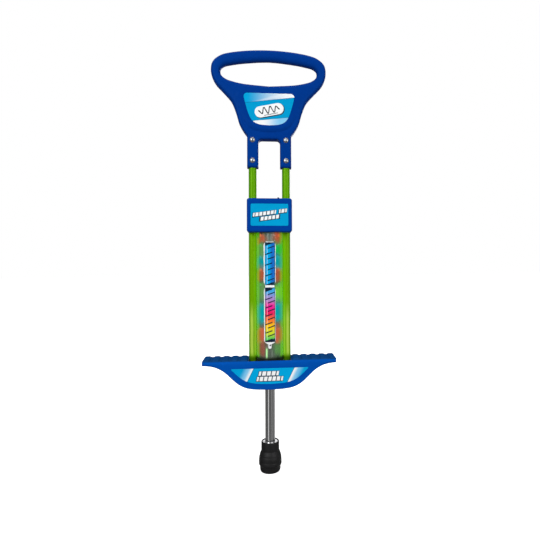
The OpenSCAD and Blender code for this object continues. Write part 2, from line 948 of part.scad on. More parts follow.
module battery_door() {
    hinge_r = door_t / 2;
    color([0.01, 0.24, 0.6])
        difference() {
            union() {
                block([-door_hx, collar_hy - door_t, door_low + hinge_r], [door_hx, collar_hy, door_high]);
                rod_x(collar_hy - hinge_r, door_low + hinge_r, hinge_r, -door_hx, door_hx);
                rod_x(collar_hy - hinge_r, door_low + hinge_r, 1, -door_hx - 1.4, door_hx + 1.4);
            }
            rod_y(0, door_screw_z, 1.5, 20, 40);
            rod_y(0, door_screw_z, 2.6, collar_hy - 1.4, 40);
        }
}

module door_screw() {
    color([0.6, 0.6, 0.62])
        pan_screw(0, door_screw_z, collar_hy - 1.4, 24.4, shank_r = 1.4, head_r = 2.4, head_t = 1.2);
}

left_upright();
right_upright();
upright_plugs();
handle_front_shell();
handle_rear_shell();
handle_screws();
handle_rivets();
handle_label();
collar_front_shell();
collar_rear_shell();
collar_screws();
collar_label();
battery_tray();
battery_contacts();
batteries();
circuit_board();
board_screws();
control_chip();
motion_sensor();
button_switch();
board_leads();
light_leads();
light_barrel();
barrel_label();
left_light_strip();
right_light_strip();
red_leds();
green_leds();
teal_leds();
spring_tube();
spring_cap();
cap_pin();
main_spring();
lower_bushing();
bump_stop();
footrest_front_shell();
footrest_rear_shell();
footrest_screws();
footrest_bracket();
bracket_bolts();
footrest_label();
plunger_tube();
plunger_head();
plunger_pin();
rubber_foot();
foot_washer();
foot_insert();
power_button();
battery_door();
door_screw();
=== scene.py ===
"""Looks of the pogo stick: camera, studio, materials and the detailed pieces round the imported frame.

Lengths are in millimetres until a mesh is made, when MM turns them into metres. The front faces -Y.
"""
import json
import math

import bmesh
import bpy
import numpy as np
from mathutils import Matrix, Vector
from mathutils.geometry import delaunay_2d_cdt


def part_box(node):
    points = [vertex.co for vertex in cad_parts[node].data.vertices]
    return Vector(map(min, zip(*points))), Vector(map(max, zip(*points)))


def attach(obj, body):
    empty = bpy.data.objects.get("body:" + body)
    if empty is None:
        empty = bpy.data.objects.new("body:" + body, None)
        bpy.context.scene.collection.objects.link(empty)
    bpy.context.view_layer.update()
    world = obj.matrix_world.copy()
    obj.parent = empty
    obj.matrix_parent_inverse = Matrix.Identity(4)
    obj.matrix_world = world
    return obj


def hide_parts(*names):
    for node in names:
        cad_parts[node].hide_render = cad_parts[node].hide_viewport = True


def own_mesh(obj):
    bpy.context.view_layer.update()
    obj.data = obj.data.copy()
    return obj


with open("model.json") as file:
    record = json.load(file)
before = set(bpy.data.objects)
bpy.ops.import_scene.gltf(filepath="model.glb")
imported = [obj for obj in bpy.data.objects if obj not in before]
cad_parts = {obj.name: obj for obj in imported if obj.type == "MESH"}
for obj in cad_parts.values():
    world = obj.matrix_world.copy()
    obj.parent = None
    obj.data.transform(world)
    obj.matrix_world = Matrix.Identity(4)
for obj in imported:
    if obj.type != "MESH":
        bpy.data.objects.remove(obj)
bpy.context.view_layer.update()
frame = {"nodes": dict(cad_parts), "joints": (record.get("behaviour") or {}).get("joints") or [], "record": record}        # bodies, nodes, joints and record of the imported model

MM = 0.001
nodes = frame["nodes"]


def node_mm(name):
    """Lowest and highest corner of a CAD node, in millimetres."""
    low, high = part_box(name)
    return np.array(low) / MM, np.array(high) / MM


def add_object(name, data):
    thing = bpy.data.objects.new(name, data)
    bpy.context.scene.collection.objects.link(thing)
    return thing


# ---------------------------------------------------------------- camera

CAMERA_AT = Vector((-0.0030, -0.9190, 0.4131))
CAMERA_PAN, CAMERA_TILT, CAMERA_ROLL = 5.777, 1.913, -0.383
CAMERA_LENS = 30.280
CAMERA_SHIFT = (-0.0815, -0.0442)


def make_camera():
    pan, tilt, roll = (math.radians(a) for a in (CAMERA_PAN, CAMERA_TILT, CAMERA_ROLL))
    data = bpy.data.cameras.new("camera")
    data.lens = CAMERA_LENS
    data.shift_x, data.shift_y = CAMERA_SHIFT
    camera = add_object("camera", data)
    turn = Matrix.Rotation(-pan, 4, "Z") @ Matrix.Rotation(math.pi / 2 + tilt, 4, "X")
    camera.matrix_world = Matrix.Translation(CAMERA_AT) @ turn @ Matrix.Rotation(roll, 4, "Z")
    bpy.context.scene.camera = camera


# ---------------------------------------------------------------- node arithmetic

def plug(tree, socket, value):
    """Links a Field or a socket to an input socket, or sets the input to a plain value."""
    if isinstance(value, Field):
        value = value.socket
    if isinstance(value, bpy.types.NodeSocket):
        tree.links.new(value, socket)
    else:
        socket.default_value = value


def new_node(tree, kind, **inputs):
    node = tree.nodes.new("ShaderNode" + kind)
    for name, value in inputs.items():
        plug(tree, node.inputs[name.replace("_", " ")], value)
    return node


class Field:
    """A number that varies over a surface, so that a pattern is written as arithmetic."""

    def __init__(self, tree, socket):
        self.tree = tree
        self.socket = socket

    def math(self, operation, *others):
        node = new_node(self.tree, "Math")
        node.operation = operation
        for socket, value in zip(node.inputs, (self,) + others):
            plug(self.tree, socket, value)
        return Field(self.tree, node.outputs[0])

    def __add__(self, other):
        return self.math("ADD", other)

    def __sub__(self, other):
        return self.math("SUBTRACT", other)

    def __mul__(self, other):
        return self.math("MULTIPLY", other)

    def __neg__(self):
        return self.math("MULTIPLY", -1.0)

    def abs(self):
        return self.math("ABSOLUTE")

    def least(self, other):
        return self.math("MINIMUM", other)

    def most(self, other):
        return self.math("MAXIMUM", other)

    def diagonal(self, other):
        """Length of the diagonal over this value and another one."""
        return (self * self + other * other).math("SQRT")

    def wrap(self, period):
        """Folds the value into -period/2 to period/2."""
        return self.math("WRAP", period / 2, -period / 2)

    def ramp(self, low, high, out_low=0.0, out_high=1.0):
        """Goes smoothly from out_low at low to out_high at high, and stays there outside."""
        node = new_node(self.tree, "MapRange", Value=self, From_Min=low, From_Max=high, To_Min=out_low,
                        To_Max=out_high)
        node.interpolation_type = "SMOOTHSTEP"
        return Field(self.tree, node.outputs["Result"])

    def below(self, edge, soft=0.12):
        """1 where the value is under edge, 0 above it, with an edge soft wide."""
        return self.ramp(edge - soft, edge + soft, 1.0, 0.0)


def split_axes(tree, socket):
    """The three parts of a vector socket as Fields."""
    return [Field(tree, part) for part in new_node(tree, "SeparateXYZ", Vector=socket).outputs]


class Paint:
    """A material on one Principled shader. Its x, y and z are places on the object in millimetres."""

    def __init__(self, name, colour, roughness=0.5, metallic=0.0, **inputs):
        self.material = bpy.data.materials.new(name)
        self.material.use_nodes = True
        self.tree = self.material.node_tree
        self.shader = self.tree.nodes["Principled BSDF"]
        inputs = dict(Base_Color=opaque(colour), Roughness=roughness, Metallic=metallic, **inputs)
        for key, value in inputs.items():
            self.feed(key.replace("_", " "), value)
        coords = new_node(self.tree, "TexCoord")
        self.place, self.normal = coords.outputs["Object"], coords.outputs["Normal"]
        self.x, self.y, self.z = (part * (1 / MM) for part in split_axes(self.tree, self.place))

    def facing_up(self):
        """1 where the surface looks up, 0 where it stands upright."""
        return split_axes(self.tree, self.normal)[2].ramp(0.6, 0.96)

    def constant(self, value):
        node = new_node(self.tree, "Value")
        node.outputs[0].default_value = value
        return Field(self.tree, node.outputs[0])

    def noise(self, size, detail, stretch=(1, 1, 1), distortion=0.0):
        """Noise whose features are about size millimetres across."""
        mapping = new_node(self.tree, "Mapping", Vector=self.place, Scale=stretch)
        node = new_node(self.tree, "TexNoise", Vector=mapping.outputs[0], Scale=1 / (size * MM),
                        Detail=detail, Distortion=distortion)
        return Field(self.tree, node.outputs[0])

    def mix(self, base, over, mask):
        """Colour over laid on base where mask is 1. A colour is a triple or a socket."""
        node = new_node(self.tree, "Mix")
        node.data_type = "RGBA"
        for i, value in ((0, mask), (6, base), (7, over)):
            plug(self.tree, node.inputs[i], opaque(value) if isinstance(value, tuple) else value)
        return node.outputs[2]

    def vary(self, colour, low, high, share):
        """Colour shaded from low to high times its brightness."""
        return self.mix(shade(colour, low), shade(colour, high), share)

    def feed(self, name, value):
        plug(self.tree, self.shader.inputs[name], value)
        return self

    def bump(self, height, strength, distance):
        """Height is 0 to 1, and distance is how many millimetres 1 stands out."""
        node = new_node(self.tree, "Bump", Height=height, Strength=strength, Distance=distance * MM)
        return self.feed("Normal", node.outputs[0])


def opaque(colour):
    return tuple(colour) + (1.0,)


def shade(colour, factor):
    return tuple(min(c * factor, 1.0) for c in colour)


def gloss_tint(colour):
    """Specular tint that keeps a saturated colour free of grey haze."""
    top = max(colour)
    return opaque(0.05 + 0.95 * math.sqrt(c / top) for c in colour)


# ---------------------------------------------------------------- materials

PLASTIC_GLOSS = 0.07
PLASTIC_ROUGHNESS = 0.42
# Darker colour painted on the tread tops as shade, and the soft edge of that band
SHADED_TREAD = (0.0064, 0.057, 0.204)
WORN_AND_SHADED_EDGE = 0.6


def moulded_plastic(name, colour, worn_and_shaded_above=None):
    """Injection-moulded plastic: fine spark texture, flow marks and scuffs, matt where dust settles on top.

    Above the given height, shoes have rubbed it matt, and its colour is darkened there as painted shade.
    """
    p = Paint(name, colour, PLASTIC_ROUGHNESS, Specular_Tint=gloss_tint(colour))
    flow = p.noise(38, 2.0, stretch=(1, 1, 0.45), distortion=0.6)
    grain = p.noise(0.55, 2.0)
    scuff = p.noise(5.5, 5.0, stretch=(1, 1, 0.25), distortion=1.2).ramp(0.64, 0.72)
    tone = p.vary(colour, 0.93, 1.08, flow)
    tone = p.mix(tone, shade(colour, 1.25), scuff * 0.35)
    matt = p.facing_up()
    if worn_and_shaded_above:
        worn_and_shaded = p.z.ramp(worn_and_shaded_above, worn_and_shaded_above + WORN_AND_SHADED_EDGE)
        # painted shade: the tread tops take a darker colour; their matt finish is shoe wear
        tone = p.mix(tone, SHADED_TREAD, worn_and_shaded)
        matt = matt.most(worn_and_shaded)
    p.feed("Specular IOR Level", matt.ramp(0.0, 1.0, PLASTIC_GLOSS, 0.0))
    p.feed("Base Color", tone)
    fine = grain.ramp(0.3, 0.7, PLASTIC_ROUGHNESS - 0.04, PLASTIC_ROUGHNESS + 0.07)
    p.feed("Roughness", fine + scuff * 0.12)
    return p.bump(grain + flow * 0.6, 0.18, 0.06).material


# Painted highlight streaks down the lower uprights: distance from the middle, half width and strength
HIGHLIGHT_STREAKS = ((36.2, 4.8, 0.95), (29.2, 2.8, 0.6))
LOWER_GREEN_LIT = (0.148, 0.385, 0.0006)
FLANK_LIGHT = 0.55


def powder_coat(name, colour, highlight_colour=None):
    """Glossy powder coat with its slight orange peel and rubbed spots.

    With a second, pale colour it is the uprights' coat: painted lighter below the collar, with painted
    highlight streaks low down, painted shade where the tubes enter the footrest, and lamp light on the flanks
    beside the barrel.
    """
    p = Paint(name, colour, 0.3, Specular_IOR_Level=0.3, Specular_Tint=gloss_tint(colour),
              Emission_Color=opaque(colour))
    peel = p.noise(1.6, 2.0)
    tone = p.noise(60, 2.0)
    rub = p.noise(9, 4.0, stretch=(1, 1, 0.3)).ramp(0.68, 0.76)
    base = p.vary(colour, 0.94, 1.06, tone)
    if highlight_colour:
        # painted light: the uprights are coloured lighter below the collar, for the brighter light on them
        # there
        base = p.mix(base, LOWER_GREEN_LIT, p.z.ramp(490, 470))
        waver = p.noise(30, 1.0) * 1.5
        low_front = p.z.ramp(338, 296) * p.z.ramp(222, 236) * p.y.ramp(0.0, -4.0)
        for middle, half, power in HIGHLIGHT_STREAKS:
            # painted highlights: pale glare streaks down the front of the lower uprights
            painted_highlight = (p.x.abs() - middle + waver).abs().ramp(0.5, half, 1.0, 0.0)
            base = p.mix(base, highlight_colour, painted_highlight * low_front * power)
        # painted shade: the uprights darken where they go down into the footrest
        base = p.mix(base, shade(colour, 0.25), p.z.ramp(230, 222) * 0.85)
        flank = p.x.abs().ramp(32.0, 27.0) * p.z.ramp(475, 465) * p.z.ramp(222, 232) * p.y.ramp(5.0, -3.0)
        p.feed("Emission Strength", flank * FLANK_LIGHT)
    p.feed("Base Color", p.mix(base, shade(colour, 0.8), rub * 0.3))
    p.feed("Roughness", peel.ramp(0.3, 0.7, 0.24, 0.36) + rub * 0.1)
    return p.bump(peel, 0.12, 0.08).material


DRAWN = (1, 1, 0.02)
GRAINED = (1, 1, 1)


def metal(name, colour, roughness, lines=DRAWN, tarnish=0.12):
    """Bare or plated metal with fine drawing lines, or an even grain, and a trace of tarnish."""
    p = Paint(name, colour, roughness, metallic=1.0)
    brushed = p.noise(0.5, 2.0, stretch=lines)
    cloud = p.noise(14, 4.0).ramp(0.45, 0.75)
    bright = p.vary(colour, 0.86, 1.08, brushed)
    p.feed("Base Color", p.mix(bright, shade(colour, 0.6), cloud * tarnish))
    p.feed("Roughness", brushed.ramp(0.3, 0.7, roughness * 0.8, roughness * 1.25) + cloud * 0.06)
    return p.bump(brushed, 0.08, 0.05).material


DUST = (0.09, 0.085, 0.08)


def rubber(name, colour=(0.006, 0.006, 0.0065), roughness=0.55):
    """Moulded rubber: fine grain, a bloom that greys the surface, and dusty scuffs."""
    p = Paint(name, colour, roughness, Specular_IOR_Level=0.3)
    grain = p.noise(0.7, 3.0)
    bloom = p.noise(11, 4.0).ramp(0.4, 0.8)
    grit = p.noise(2.2, 5.0).ramp(0.63, 0.7)
    bloomed = p.mix(colour, shade(colour, 2.0), bloom * 0.5)
    p.feed("Base Color", p.mix(bloomed, DUST, grit * 0.16))
    p.feed("Roughness", grain.ramp(0.3, 0.7, roughness - 0.08, roughness + 0.08) + grit * 0.1)
    return p.bump(grain, 0.25, 0.08).material


def plain_plastic(name, colour, roughness=0.5):
    """Small unpainted plastic pieces: a fine matt grain with slight mottling."""
    p = Paint(name, colour, roughness, Specular_IOR_Level=0.4)
    grain = p.noise(0.6, 2.0)
    mottle = p.noise(7, 3.0)
    p.feed("Base Color", p.vary(colour, 0.88, 1.12, mottle))
    p.feed("Roughness", grain.ramp(0.3, 0.7, roughness - 0.06, roughness + 0.08))
    return p.bump(grain, 0.15, 0.05).material


# ---------------------------------------------------------------- studio

WHITE_LIGHT = (1, 1, 1, 1)
# Upright light panels round the object: degrees from the camera's side, half width and brightness
PANELS = ((-36, 8, 0.85), (4, 4, 0.22), (42, 7, 0.42), (104, 10, 0.6), (-72, 6, 0.2), (-128, 10, 0.25),
          (-160, 16, 0.5), (150, 20, 0.55))
ROOM_GREY = 0.08
LOW_GREY = 0.09
CEILING = 0.5
FLOOR_REACH = 12.0
FLOOR_LIGHT = 0.82
# Lamps in metres: name, place, size, power and how much of it is mirrored
LAMPS = (("key", (-1.4, -2.0, 1.3), 1.3, 43, 1.0), ("fill", (1.6, -1.8, 0.8), 1.4, 28, 1.0),
         ("back", (0.6, 1.9, 1.3), 1.4, 22, 0.08), ("top", (0.0, -0.3, 2.6), 1.2, 6, 0.08))
AIM = Vector((0, 0, 0.42))


def studio_world():
    """Grey room with upright light panels, which glossy surfaces mirror; the camera sees white."""
    world = bpy.data.worlds.new("studio")
    bpy.context.scene.world = world
    world.use_nodes = True
    tree = world.node_tree
    x, y, z = split_axes(tree, tree.nodes.new("ShaderNodeTexCoord").outputs["Generated"])
    turn = x.math("ARCTAN2", -y) * math.degrees(1)
    glow = z.ramp(0.45, 0.8, ROOM_GREY, CEILING).most(z.ramp(-0.12, 0.0, LOW_GREY, 0.0))
    low = z.ramp(-0.03, 0.04, 1.0, 0.0)
    for middle, half, bright in PANELS:
        away = (turn - middle).wrap(360).abs()
        glow = glow.most(away.ramp(half * 0.6, half * 1.4, bright, 0.0) * low)
    room = tree.nodes["Background"]
    plug(tree, room.inputs["Color"], WHITE_LIGHT)
    plug(tree, room.inputs["Strength"], glow)
    seen = new_node(tree, "Background", Color=WHITE_LIGHT)
    mix = new_node(tree, "MixShader", Fac=new_node(tree, "LightPath").outputs["Is Camera Ray"])
    for socket, source in ((mix.inputs[1], room), (mix.inputs[2], seen)):
        plug(tree, socket, source.outputs[0])
    plug(tree, tree.nodes["World Output"].inputs["Surface"], mix.outputs[0])


def studio_floor():
    """Pale floor that lights itself enough to meet the white backdrop with no horizon."""
    reach = FLOOR_REACH
    mesh = bpy.data.meshes.new("floor")
    mesh.from_pydata([(-reach, -reach, 0), (reach, -reach, 0), (reach, reach, 0), (-reach, reach, 0)],
                     [], [(0, 1, 2, 3)])
    floor = add_object("floor", mesh)
    p = Paint("floor_paint", (0.8, 0.8, 0.8), 0.9, Specular_IOR_Level=0.1, Emission_Color=WHITE_LIGHT,
              Emission_Strength=FLOOR_LIGHT)
    p.feed("Base Color", p.mix((0.79, 0.79, 0.79), (0.82, 0.82, 0.82), p.noise(300, 2.0)))
    mesh.materials.append(p.material)
    floor.visible_glossy = False
    floor.visible_diffuse = False


def make_studio():
    bpy.context.scene.view_settings.view_transform = "Standard"
    studio_world()
    studio_floor()
    for name, place, size, power, sheen in LAMPS:
        light = bpy.data.lights.new(name, "AREA")
        light.size, light.energy, light.specular_factor = size, power, sheen
        lamp = add_object(name, light)
        lamp.location = place
        lamp.rotation_euler = (AIM - Vector(place)).to_track_quat("-Z", "Y").to_euler()


# ---------------------------------------------------------------- mesh tools

def smooth_line(points, step):
    """Catmull-Rom curve through points, with a point about every step millimetres."""
    p = [np.array(q, float) for q in points]
    out = []
    for i in range(len(p) - 1):
        a, b, c, d = p[max(i - 1, 0)], p[i], p[i + 1], p[min(i + 2, len(p) - 1)]
        count = max(1, round(np.linalg.norm(c - b) / step))
        for t in np.arange(count) / count:
            out.append(0.5 * (2 * b + (c - a) * t + (2 * a - 5 * b + 4 * c - d) * t ** 2
                              + (3 * b - a - 3 * c + d) * t ** 3))
    return out + [p[-1]]


def straight(a, b, step):
    """Points from a up to but not including b."""
    a, b = np.array(a, float), np.array(b, float)
    count = max(1, round(np.linalg.norm(b - a) / step))
    return [a + (b - a) * i / count for i in range(count)]


def arc(centre, radius, start, end, count):
    turns = [math.radians(start + (end - start) * i / count) for i in range(count + 1)]
    return [np.array((centre[0] + radius * math.cos(a), centre[1] + radius * math.sin(a))) for a in turns]


def mirrored(points):
    return [np.array((-p[0], p[1])) for p in reversed(points)]


def circle(centre, radius, count=24):
    return arc(centre, radius, 0, 360, count)[:-1]


def rectangle(x0, x1, z0, z1, r):
    """Rectangle with rounded corners, anticlockwise."""
    middles = ((x1 - r, z0 + r), (x1 - r, z1 - r), (x0 + r, z1 - r), (x0 + r, z0 + r))
    corners = [arc(middle, r, 90 * i - 90, 90 * i, max(3, round(r))) for i, middle in enumerate(middles)]
    out = []
    for corner, following in zip(corners, corners[1:] + corners[:1]):
        out += corner + straight(corner[-1], following[0], 2.0)[1:]
    return out


def shrink(loop, inset):
    """Moves each point of an anticlockwise loop inwards."""
    p = np.array(loop)
    along = np.roll(p, -1, axis=0) - np.roll(p, 1, axis=0)
    normal = np.stack([-along[:, 1], along[:, 0]], 1) / np.linalg.norm(along, axis=1)[:, None]
    return list(p + normal * inset)


def distance(points, loop):
    """Distance from each point to a closed loop."""
    a = np.array(loop)
    b = np.roll(a, -1, axis=0)
    ab = b - a
    best = np.full(len(points), 1e9)
    for start, edge in zip(a, ab):
        rel = points - start
        t = np.clip((rel @ edge) / max(edge @ edge, 1e-12), 0, 1)
        best = np.minimum(best, np.linalg.norm(rel - t[:, None] * edge, axis=1))
    return best


def inside(points, loop):
    """True for each point inside a closed loop."""
    a = np.array(loop)
    b = np.roll(a, -1, axis=0)
    x, z = points[:, 0], points[:, 1]
    result = np.zeros(len(points), bool)
    for (x0, z0), (x1, z1) in zip(a, b):
        if z0 == z1:
            continue
        crosses = (z0 > z) != (z1 > z)
        result ^= crosses & (x < (x1 - x0) * (z - z0) / (z1 - z0) + x0)
    return result


def within(points, outline, holes):
    """True for each point inside the outline and outside every hole."""
    result = inside(points, outline)
    for hole in holes:
        result &= ~inside(points, hole)
    return result


def rim_edges(faces):
    """The edges round the outside of a surface, each in its face's own direction."""
    sides = {(a, b): None for f in faces for a, b in zip(f, f[1:] + f[:1])}
    return [(a, b) for a, b in sides if (b, a) not in sides]


def ease(value, low, high):
    """Smooth step from 0 at low to 1 at high."""
    t = np.clip((value - low) / (high - low), 0, 1)
    return t * t * (3 - 2 * t)


def screw_wells(spots, radius, deep):
    """The change that sinks a round well at each spot, and the loops that its wall needs."""
    def change(points, gap):
        return sum((np.linalg.norm(points - np.array(spot), axis=1) < radius + 0.05) * deep for spot in spots)

    return change, [circle(spot, r) for spot in spots for r in (radius, radius + 0.3)]


def sticker_recess(loop):
    """The change that sinks a sticker's shallow recess, and the loops that its edge needs."""
    def change(points, gap):
        return inside(points, shrink(loop, -0.3)) * 0.4

    return change, [shrink(loop, -0.45), shrink(loop, -0.1)]


def make_piece(name, verts, faces, material, body, weld=False):
    """Mesh object in metres from millimetre points, riding on a body."""
    mesh = bpy.data.meshes.new(name)
    mesh.from_pydata([tuple(float(c) * MM for c in v) for v in verts], [], [tuple(f) for f in faces])
    mesh.validate()
    work = bmesh.new()
    work.from_mesh(mesh)
    if weld:
        bmesh.ops.remove_doubles(work, verts=work.verts, dist=1e-6)
    bmesh.ops.recalc_face_normals(work, faces=work.faces)
    work.to_mesh(mesh)
    work.free()
    mesh.shade_smooth()
    mesh.materials.append(material)
    piece = add_object(name, mesh)
    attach(piece, body)
    return piece


def sharpen(piece, degrees):
    """Marks edges sharper than an angle, so that smooth shading stops there."""
    mesh = piece.data
    work = bmesh.new()
    work.from_mesh(mesh)
    limit = math.radians(degrees)
    for edge in work.edges:
        edge.smooth = len(edge.link_faces) != 2 or edge.calc_face_angle(0) < limit
    work.to_mesh(mesh)
    work.free()
    return piece


def grid_points(outline, pitch):
    """Points of a square grid over an outline's box."""
    low, high = np.array(outline).min(0), np.array(outline).max(0)
    gx, gz = np.meshgrid(np.arange(low[0], high[0], pitch), np.arange(low[1], high[1], pitch))
    return np.stack([gx.ravel(), gz.ravel()], 1)


FACE_PITCH = 4.0
FACE_CLEAR = 0.25       # nearest that a free mesh point comes to an edge
PARTING_GAP = 0.06      # each half stands this far off the parting plane


def relief(name, material, outline, side, depth, edge_r, wall, holes, marks, change,
           rings=(0.3, 0.9, 1.8, 3.0, 4.6, 6.6, 9.0), even=0):
    """Half shell standing on the parting plane: its face is at depth, and its edge is rounded.

    outline and holes are closed loops in X and Z. edge_r(z) and wall(z) are the rounding's radius and how
    far out the straight side wall goes. marks are loops that get mesh edges of their own, and rings are how
    far in from each edge the mesh has a row of points. change(points, distance) returns how far each point
    of the face moves inwards. side is -1 in front. even is how often the face is evened out.
    """
    loops = [outline] + list(holes)
    grid = grid_points(outline, FACE_PITCH)
    grid[:, 0] += (np.arange(len(grid)) % 7) * 0.01
    rows = [shrink(loop, sign * d) for loop in loops for d in rings for sign in (-1, 1)]
    free = np.concatenate(rows + list(marks) + [grid])
    free = free[within(free, outline, holes)]
    gap = np.min([distance(free, loop) for loop in loops], axis=0)
    near_ring = np.min(np.abs(gap[:, None] - np.array((0,) + tuple(rings))), axis=1)
    keep = (near_ring < 0.02) | (gap > rings[-1])
    for loop in marks:
        keep |= distance(free, loop) < 1e-4
    free = free[keep & (gap > FACE_CLEAR)]

    edges, fixed = [], []
    for loop in list(loops) + list(marks):
        base = len(fixed)
        fixed += [Vector(p) for p in loop]
        edges += [(base + i, base + (i + 1) % len(loop)) for i in range(len(loop))]
    flat, _, faces, *_ = delaunay_2d_cdt(fixed + [Vector(p) for p in free], edges, [], 0, 0.02)
    flat = np.array([tuple(v) for v in flat])
    centres = np.array([flat[list(f)].mean(0) for f in faces])
    faces = [f for f, ok in zip(faces, within(centres, outline, holes)) if ok]
    used = sorted({i for f in faces for i in f})
    index = {old: new for new, old in enumerate(used)}
    flat = flat[used]
    faces = [[index[i] for i in f] for f in faces]

    gap = np.min([distance(flat, loop) for loop in loops], axis=0)
    r, w = edge_r(flat[:, 1]), wall(flat[:, 1])
    height = w + (depth - w) * np.sqrt(1 - (1 - np.clip(gap / r, 0, 1)) ** 2)
    if even:
        links = {}
        for f in faces:
            for a, b in zip(f, f[1:] + f[:1]):
                links.setdefault(a, set()).add(b)
                links.setdefault(b, set()).add(a)
        soft = [i for i in range(len(flat)) if gap[i] > 5]
        for _ in range(even):
            height[soft] = [np.mean(height[list(links[i])]) for i in soft]
    height -= change(flat, gap)
    verts = [(x, side * h, z) for (x, z), h in zip(flat, height)]

    rim = rim_edges(faces)
    rim_points = list(dict.fromkeys(i for edge in rim for i in edge))
    order = {point: k for k, point in enumerate(rim_points)}
    first = len(verts)
    verts += [(flat[i][0], side * PARTING_GAP, flat[i][1]) for i in rim_points]
    walls = [(b, a, first + order[a], first + order[b]) for a, b in rim]
    rim_flat = [Vector(flat[i]) for i in rim_points]
    rim_links = [(order[a], order[b]) for a, b in rim]
    _, _, base_faces, *_ = delaunay_2d_cdt(rim_flat, rim_links, [], 0, 1e-5)
    centres = np.array([np.mean([rim_flat[i] for i in f], axis=0) for f in base_faces])
    good = within(centres, outline, holes)
    base = [[first + i for i in reversed(f)] for f, ok in zip(base_faces, good) if ok]
    return sharpen(make_piece(name, verts, faces + walls + base, material, "frame"), 40)


def plate(name, material, loop, y, thickness, wrap_r=None):
    """Thin sheet in X and Z with its face at y, or wrapped round a cylinder of radius wrap_r."""
    free = grid_points(loop, 3.0)
    free = free[inside(free, loop)]
    free = free[distance(free, loop) > 0.8]
    edges = [(i, (i + 1) % len(loop)) for i in range(len(loop))]
    points = [Vector(p) for p in list(loop) + list(free)]
    flat, _, faces, *_ = delaunay_2d_cdt(points, edges, [], 1, 1e-4)
    count = len(flat)
    verts = []
    for lift in (0.0, thickness):
        for x, z in flat:
            if wrap_r is None:
                verts.append((x, y + lift, z))
            else:
                angle = x / wrap_r
                r = wrap_r - lift
                verts.append((r * math.sin(angle), -r * math.cos(angle), z))
    back = [[i + count for i in reversed(f)] for f in faces]
    walls = [(b, a, a + count, b + count) for a, b in rim_edges(faces)]
    return sharpen(make_piece(name, verts, list(faces) + back + walls, material, "frame"), 32)


def cut_box(piece, low, high):
    """Cuts a box, given by its corners in millimetres, out of a piece."""
    mesh = bpy.data.meshes.new("cutter")
    work = bmesh.new()
    bmesh.ops.create_cube(work, size=1.0)
    for vert in work.verts:
        vert.co = [MM * (a + (b - a) * (c + 0.5)) for a, b, c in zip(low, high, vert.co)]
    work.to_mesh(mesh)
    work.free()
    cutter = add_object("cutter", mesh)
    cut = piece.modifiers.new("cut", "BOOLEAN")
    cut.operation, cut.solver, cut.object = "DIFFERENCE", "EXACT", cutter
    result = bpy.data.meshes.new_from_object(piece.evaluated_get(bpy.context.evaluated_depsgraph_get()))
    piece.modifiers.clear()
    piece.data = result
    bpy.data.objects.remove(cutter)
    return sharpen(piece, 40)


LATHE_STEPS = 128


def lathe(name, material, profile, body, closed=False):
    """Solid of revolution about the stick's axis, from (radius, z) points. A closed profile is a ring's."""
    verts, faces = [], []
    count = len(profile)
    for s in range(LATHE_STEPS):
        a = 2 * math.pi * s / LATHE_STEPS
        verts += [(r * math.cos(a), r * math.sin(a), z) for r, z in profile]
        here, there = s * count, (s + 1) % LATHE_STEPS * count
        for i in range(count if closed else count - 1):
            j = (i + 1) % count
            faces.append((here + i, there + i, there + j, here + j))
    return sharpen(make_piece(name, verts, faces, material, body, weld=True), 35)


def fillet(points, radius, count=4):
    """Rounds every inner corner of an open (radius, z) profile."""
    p = [np.array(q, float) for q in points]
    out = [p[0]]
    for a, b, c in zip(p, p[1:], p[2:]):
        u, v = a - b, c - b
        cut = min(radius, 0.45 * np.linalg.norm(u), 0.45 * np.linalg.norm(v))
        start = b + u / np.linalg.norm(u) * cut
        end = b + v / np.linalg.norm(v) * cut
        for i in range(count + 1):
            t = i / count
            out.append((1 - t) ** 2 * start + 2 * t * (1 - t) * b + t ** 2 * end)
    return out + [p[-1]]


# ---------------------------------------------------------------- handle

HANDLE_SIDE = [(44.2, 666), (52.4, 677.5), (60.2, 692.5), (67, 715), (75.8, 735.5), (91.4, 753.5),
               (105.8, 769), (113.6, 784), (116.6, 800), (113.6, 815.4), (102.5, 826.8), (84, 834.6),
               (45, 840.8)]
HANDLE_CROWN = (0, 843)
SLOT_SIDE = [(50, 772.6), (77, 778.2), (88.4, 783), (95, 788.6), (97.4, 795.4), (96, 802.4), (90, 807.6),
             (80, 810.8), (50, 816)]
SLOT_TOP = (0, 820)
SLOT_BOTTOM = (0, 768.8)
LEG_OUT, LEG_IN, LEG_LOW = 44.2, 21.8, 601.4
WINDOW_HIGH, WINDOW_R = 658.6, 7.0
HANDLE_SCREWS = [(58, 827.6), (107.3, 797), (63, 748), (-58, 827.6), (-107.3, 797), (-63, 748), (0, 664.5)]
HANDLE_LABEL_SIDE = [(0, 686.4), (19, 688), (31.5, 693.5), (39.8, 705.5), (46.5, 726)]
HANDLE_LABEL_X, HANDLE_LABEL_HIGH, HANDLE_LABEL_R = 51, 751.5, 7.5
LEG_EDGE, GRIP_EDGE = 4.2, 11.6     # rounding of the flat legs and of the grip
GRIP_WALL = 0.8
CREASE_AT, CREASE_DEEP = 14.0, 1.4


